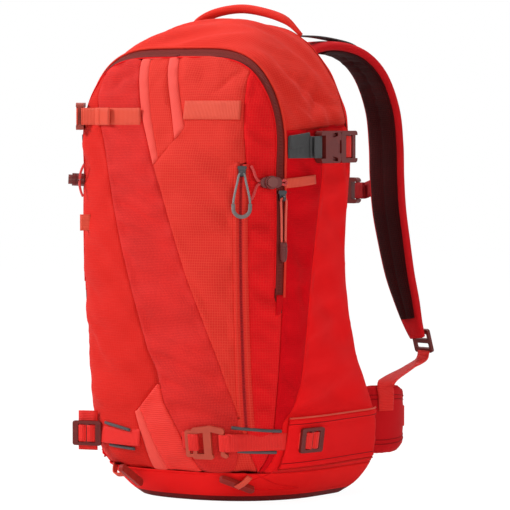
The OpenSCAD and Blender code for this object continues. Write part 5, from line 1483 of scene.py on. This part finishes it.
def beltWeb(label, m, barX, body):
    start = [wingFace(wingLast - 3, 2.4), wingFace(wingLast - 1, 2.6), (barX + 24, beltY - 0.6, belt["z"])]
    return buckleWeb("belt", label, m, start, barX, beltY, belt["z"], belt["webbing"], web["red"], body)


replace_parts(beltWeb("Right", np.eye(4), femaleBar(belt["webbing"]), root), "belt_webbing_right")
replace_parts(beltWeb("Left", mirrorX, maleBar(belt["webbing"]), "belt_male"), "belt_webbing_left")


def lifters():
    z = harness["z"] + 36
    start = np.array([harness["x"] + 6, float(rearY(harness["x"], z)) + webThick / 2 + 0.5, z])
    path = spline([start, (start + strapTop(5, 3)) / 2 + (0, 0, 2.5), strapTop(5, 2.2), strapTop(6, 1.5)], 8)
    parts = [strap("lifter" + label, put(m, path), (1, 0, 0), webWidth["lifter"], web["grey"])
             for label, m in bothSides]
    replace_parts(joined("loadLifters", parts), "load_lifters")


lifters()

tipDir = tangents(strapPath)[-1]
tipOut = np.array([tipDir[0], -tipDir[2], tipDir[1]])


def lowerWeb():
    start = strapPath[-1] + 18 * tipDir + (10 - webThick / 2 - 1) * tipOut
    rim = wingFace(3, 4) + (0, 0, belt["height"] / 2 + 3)
    across = np.array([strapAcross, (0.8, -0.6, 0), (0.8, 0.5, 0), (0.45, 0.89, 0)])
    path = spline([start, start + (0.5, -8, -11), start * 0.5 + rim * 0.5 + (0, -1, -4), rim,
                   wingFace(3, 2.6) + (0, 0, belt["height"] / 3), wingFace(3, 2.4) + (0, 0, belt["height"] / 8)], 8)
    parts = [strap("lowerWeb" + label, put(m, path), put(m, across), webWidth["shoulder"], web["red"])
             for label, m in bothSides]
    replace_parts(joined("lowerStrapWebs", parts), "lower_strap_webbings")


lowerWeb()

hook = {"x": 66, "z": 74, "lift": 3.6, "length": 52, "thick": 3.6, "bar": 5, "gap": 0.4}
hookFrame = placeFront(hook["x"], hook["z"], hook["lift"])
armX, barX = hook["length"] / 2 - 6, -hook["length"] / 2 + 12
hookOut = hook["thick"] / 2 + hook["gap"] + webThick / 2
hookBend = hook["bar"] / 2 + hook["gap"] + webThick / 2


def hookFold(legs):
    return [(-legs, hookOut), (hookBend, hookOut), (hookBend, -hookOut), (-legs, -hookOut)]


def lowerSki():
    middle = hookFrame @ shift(0, 0, hook["thick"] / 2)
    sewn = run(middle @ shift(barX, 0, 0), hookFold(7) + [(-18, -hookOut - 3.6)], webWidth["lower"], web["red"],
               "hookWeb", "hook")
    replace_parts(sewn, "hook_webbing")
    mirrored = middle @ shift(armX, 0, 0) @ mirrorX
    arm = run(mirrored, hookFold(10), webWidth["lower"], web["red"], "armFold", root)
    turned = math.radians(frontTurn(hook["x"], hook["z"]))
    base = np.array([hook["x"], float(faceY(hook["x"], hook["z"], -hook["lift"])), hook["z"]])

    def hookPoint(a, b):
        return (base + a * np.array([math.cos(turned), math.sin(turned), 0])
                + (b + hook["thick"] / 2) * np.array([math.sin(turned), -math.cos(turned), 0]))

    def onSkin(first, last, steps, lift):
        x = np.linspace(first, last, steps)
        return frontPoint(angleAt(x, hook["z"] + 0 * x), hook["z"], -lift)
    ahead = [hookPoint(armX + a, hookOut + b) for a, b in ((4, 0), (9, 0), (15, -2))]
    path = np.concatenate([ahead, onSkin(104, 137, 16, 1.3)])
    runOut = strap("lowerRun", path, (0, 0, 1), webWidth["lower"], web["red"], crown=0.2)
    leftRun = strap("lowerLeft", onSkin(-27, -131, 34, 2.3), (0, 0.12, 1), webWidth["lower"], web["red"], crown=0.3)
    whole = joined("lowerSkiStrap", [arm, runOut, leftRun])
    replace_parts(whole, "lower_ski_strap")
    sewnX = 101.0
    line = [(sewnX, float(faceY(sewnX, hook["z"])) - 3.2, hook["z"] + d) for d in (-8.5, 8.5)]
    stitches("lowerStitch", line, (0.3, -0.95, 0), 2.4, 1.8, 0.4)


lowerSki()

loop = {"width": 58, "lift": 2.6, "z": 72}


def skiLoop(label, m):
    y = np.linspace(-40, 128, 90)[:, None]
    s = np.linspace(-1, 1, 17)
    stand = loop["lift"] * np.maximum(1 - (y + 38) / 24 / 5, 0) * ease((y + 40) / 3 + 0.7)
    high = s * loop["width"] / 2
    grid = onSide(y, loop["z"] + high + 0 * y)
    n = -gridNormals(grid)
    # rolled hems above and below, a flat sleeve between, pulled in by bar tacks
    hem = 2.2 * np.exp(-((np.abs(s) - 0.84) / 0.09) ** 2) - 1.4 * np.exp(-((np.abs(s) - 0.66) / 0.04) ** 2)
    grid = grid + (2.6 + hem + stand)[..., None] * n
    start = 0 if m[0, 0] > 0 else 6
    for name, column, lift, radius, material in (
            ("Hem%s0", 0, 0.8, 1.1, cloth["binding"]), ("Hem%s1", -1, 0.8, 1.1, web["coral"]),
            ("Seam%s2", 2, 0.1, 0.5, cloth["redThread"]), ("Seam%s14", 14, 0.1, 0.5, cloth["redThread"])):
        line = put(m, grid[start:, column] + n[start:, column] * lift)
        tube("skiLoop" + name % label, line, radius, material, sides=6)
    return shell("skiLoop" + label, put(m, grid[start:]), weaveAt(high, y)[start:], [cloth["sidePaintedHighlight"]], 1.6,
                 flip=m[0, 0] > 0)


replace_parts([skiLoop(label, m) for label, m in bothSides][0], "side_ski_loops")


def ringWraps():
    rightRing = placeSide(-8, 74, 2.6 * (1 - 1 / 5) + 0.3 + webThick + 0.5)
    leftRing = shift(-112, -90.9, 74) @ turn(90, 0, 14)
    for label, place in (("Right", rightRing), ("Left", leftRing)):
        path = [(-19, -0.9), (-12, -0.6), (-9.6, 2.8), (-5, 5.6), (-1.6, 4.0), (0, 0.6), (1.6, 4.0), (5, 5.6),
                (9.6, 2.8), (12, -0.6), (18, -0.9)]
        run(place, path, webWidth["ring"], web["red"], "ringWeb" + label, root, soft=3)
    back = put(leftRing, [(-1, h, -3.4 - 0.6 * abs(h) / 30) for h in np.linspace(26, -20, 14)])
    strap("ringBack", back, leftRing[:3, 0], 24, web["red"], thick=3.4, crown=2.0)


ringWraps()

toggle = {"x": 83, "z": 25, "lift": 1.8}


def toggleTabs():
    place = placeFront(toggle["x"], toggle["z"], toggle["lift"]) @ turn(0, 0, 44) @ shift(9, 0, 0)
    one = run(place, [(-10, 6.4), (3, 6.4), (12, 1.4)], webWidth["toggle"], web["coral"], "tabRight", root)
    left = np.array([-44, -96, 29.0])
    path = spline([(-84, float(faceY(84, 37)) - 1.6, 37), (-66, left[1] - 1, 29), left + (-9, 0, 0.6),
                   left + (-3.2, 0, 0)], 8)
    two = strap("tabLeft", path, (0, -0.85, 0.5), webWidth["toggle"], web["coral"])
    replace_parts(joined("toggleTabs", [one, two]), "toggle_tabs")


toggleTabs()


def toolTabs():
    s = np.linspace(0, 1, 20)
    path = onSide(zipFrontY + 8.5 + 45.6 * s, elastic["z"] - 1 + 4 * s, 1.9 + 0.5 * np.sin(s * 5))
    parts = [strap("toolTab" + label, put(m, path), (0, 0, 1), webWidth["tool"], web["coral"], thick=2.2, body=flap,
                   crown=0.3)
             for label, m in bothSides]
    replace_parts(joined("toolTabs", parts), "tool_tabs")


toolTabs()
print("webbing made")

strap("gearTab", onFront(-115.0, np.linspace(331, 312, 8), 5.0), (1, 0.45, 0), webWidth["gear"], web["coral"],
      thick=2.4, body=flap, crown=0.5)
for name, points in {"LeftHigh": [(-84, 88), (-60, 85), (-42, 82)], "LeftLow": [(-80, 62), (-60, 61), (-38, 60)],
                     "RightHigh": [(94, 91), (112, 89), (134, 86)],
                     "RightLow": [(97, 63.5), (110, 62.5), (128, 61.5)]}.items():
    tube("greyPiping" + name, onFront(*spline(points, 8).T, 2.0), 1.9, cloth["greyPiping"], sides=8)


# hardware keeps its own solids and takes its finish

finishes = {
    "buckle": ["strap_ladder_locks", "sternum_buckle_female", "sternum_buckle_male", "belt_buckle_female",
               "belt_buckle_male", "side_buckle_females", "side_buckle_male_right", "side_buckle_male_left",
               "tool_locks", "ski_strap_rings"],
    "toggle": ["toggle_bars"],
    "buckleCoral": ["ski_buckle_female", "ski_buckle_male"],
    "button": ["tool_plunger_right", "tool_plunger_left"],
    "grip": ["pocket_pull_end"],
    "gripMaroon": ["arch_pull_end"],
    "slider": ["arch_slider", "pocket_slider"],
    "hook": ["g_hook"],
    "sheet": ["frame_sheet"],
    "stay": ["frame_stay"],
}
for finish, nodes in finishes.items():
    for node in nodes:
        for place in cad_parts[node].material_slots:
            place.material = hard[finish]
print("hardware finished")


# light, floor and background

studio = {"world": 0.2, "aim": (0, 0, 0.28), "floorShow": 0.86, "floorGlow": 1.12, "floorHalf": 6}
lamps = {"key": ((-2.1, -1.5, 1.9), 0.8, 71.0), "top": ((0.1, 0.5, 2.4), 1.6, 32.0),  # place, size and power of each
         "fill": ((2.4, -1.9, 0.5), 1.2, 29.0)}


def seenDirectly(tree):  # 1 for rays from the camera, a reflection or a see-through part
    path = addNode(tree, "LightPath")
    return maths(tree, "MAXIMUM", maths(tree, "MAXIMUM", path.outputs["Is Camera Ray"], path.outputs["Is Glossy Ray"]),
                 path.outputs["Is Transmission Ray"])


def makeStudio():
    world = bpy.data.worlds.new("studio")
    bpy.context.scene.world = world
    world.use_nodes = True
    tree = world.node_tree
    tree.nodes.clear()
    strength = ranged(tree, seenDirectly(tree), 0.0, 1.0, studio["world"], 1.0)
    background = addNode(tree, "Background", {"Color": (1, 1, 1, 1)}, {"Strength": strength})
    addNode(tree, "OutputWorld", links={"Surface": background})
    for name, (place, size, power) in lamps.items():
        data = bpy.data.lights.new(name, "AREA")
        data.size, data.energy = size, power
        lamp = bpy.data.objects.new(name, data)
        bpy.context.collection.objects.link(lamp)
        lamp.location = place
        lamp.rotation_euler = (Vector(studio["aim"]) - Vector(place)).to_track_quat("-Z", "Y").to_euler()
    mesh = bpy.data.meshes.new("floor")
    half = studio["floorHalf"]
    mesh.from_pydata([(-half, -half, 0), (half, -half, 0), (half, half, 0), (-half, half, 0)], [], [(0, 1, 2, 3)])
    floor = bpy.data.objects.new("floor", mesh)
    bpy.context.collection.objects.link(floor)
    material = newMaterial("paintedFloor", "#f4f4f4", Roughness=0.9)
    tree = material.node_tree
    glow = addNode(tree, "Emission", {"Color": (1, 1, 1, 1), "Strength": studio["floorGlow"]})
    shown = maths(tree, "MULTIPLY", seenDirectly(tree), studio["floorShow"])
    mix = addNode(tree, "MixShader", links={0: shown, 1: principled(material), 2: glow})
    output = [n for n in tree.nodes if n.type == "OUTPUT_MATERIAL"][0]
    tree.links.new(mix.outputs[0], output.inputs["Surface"])
    mesh.materials.append(material)
    bpy.context.scene.view_settings.view_transform = "Standard"


makeStudio()
print("scene made")
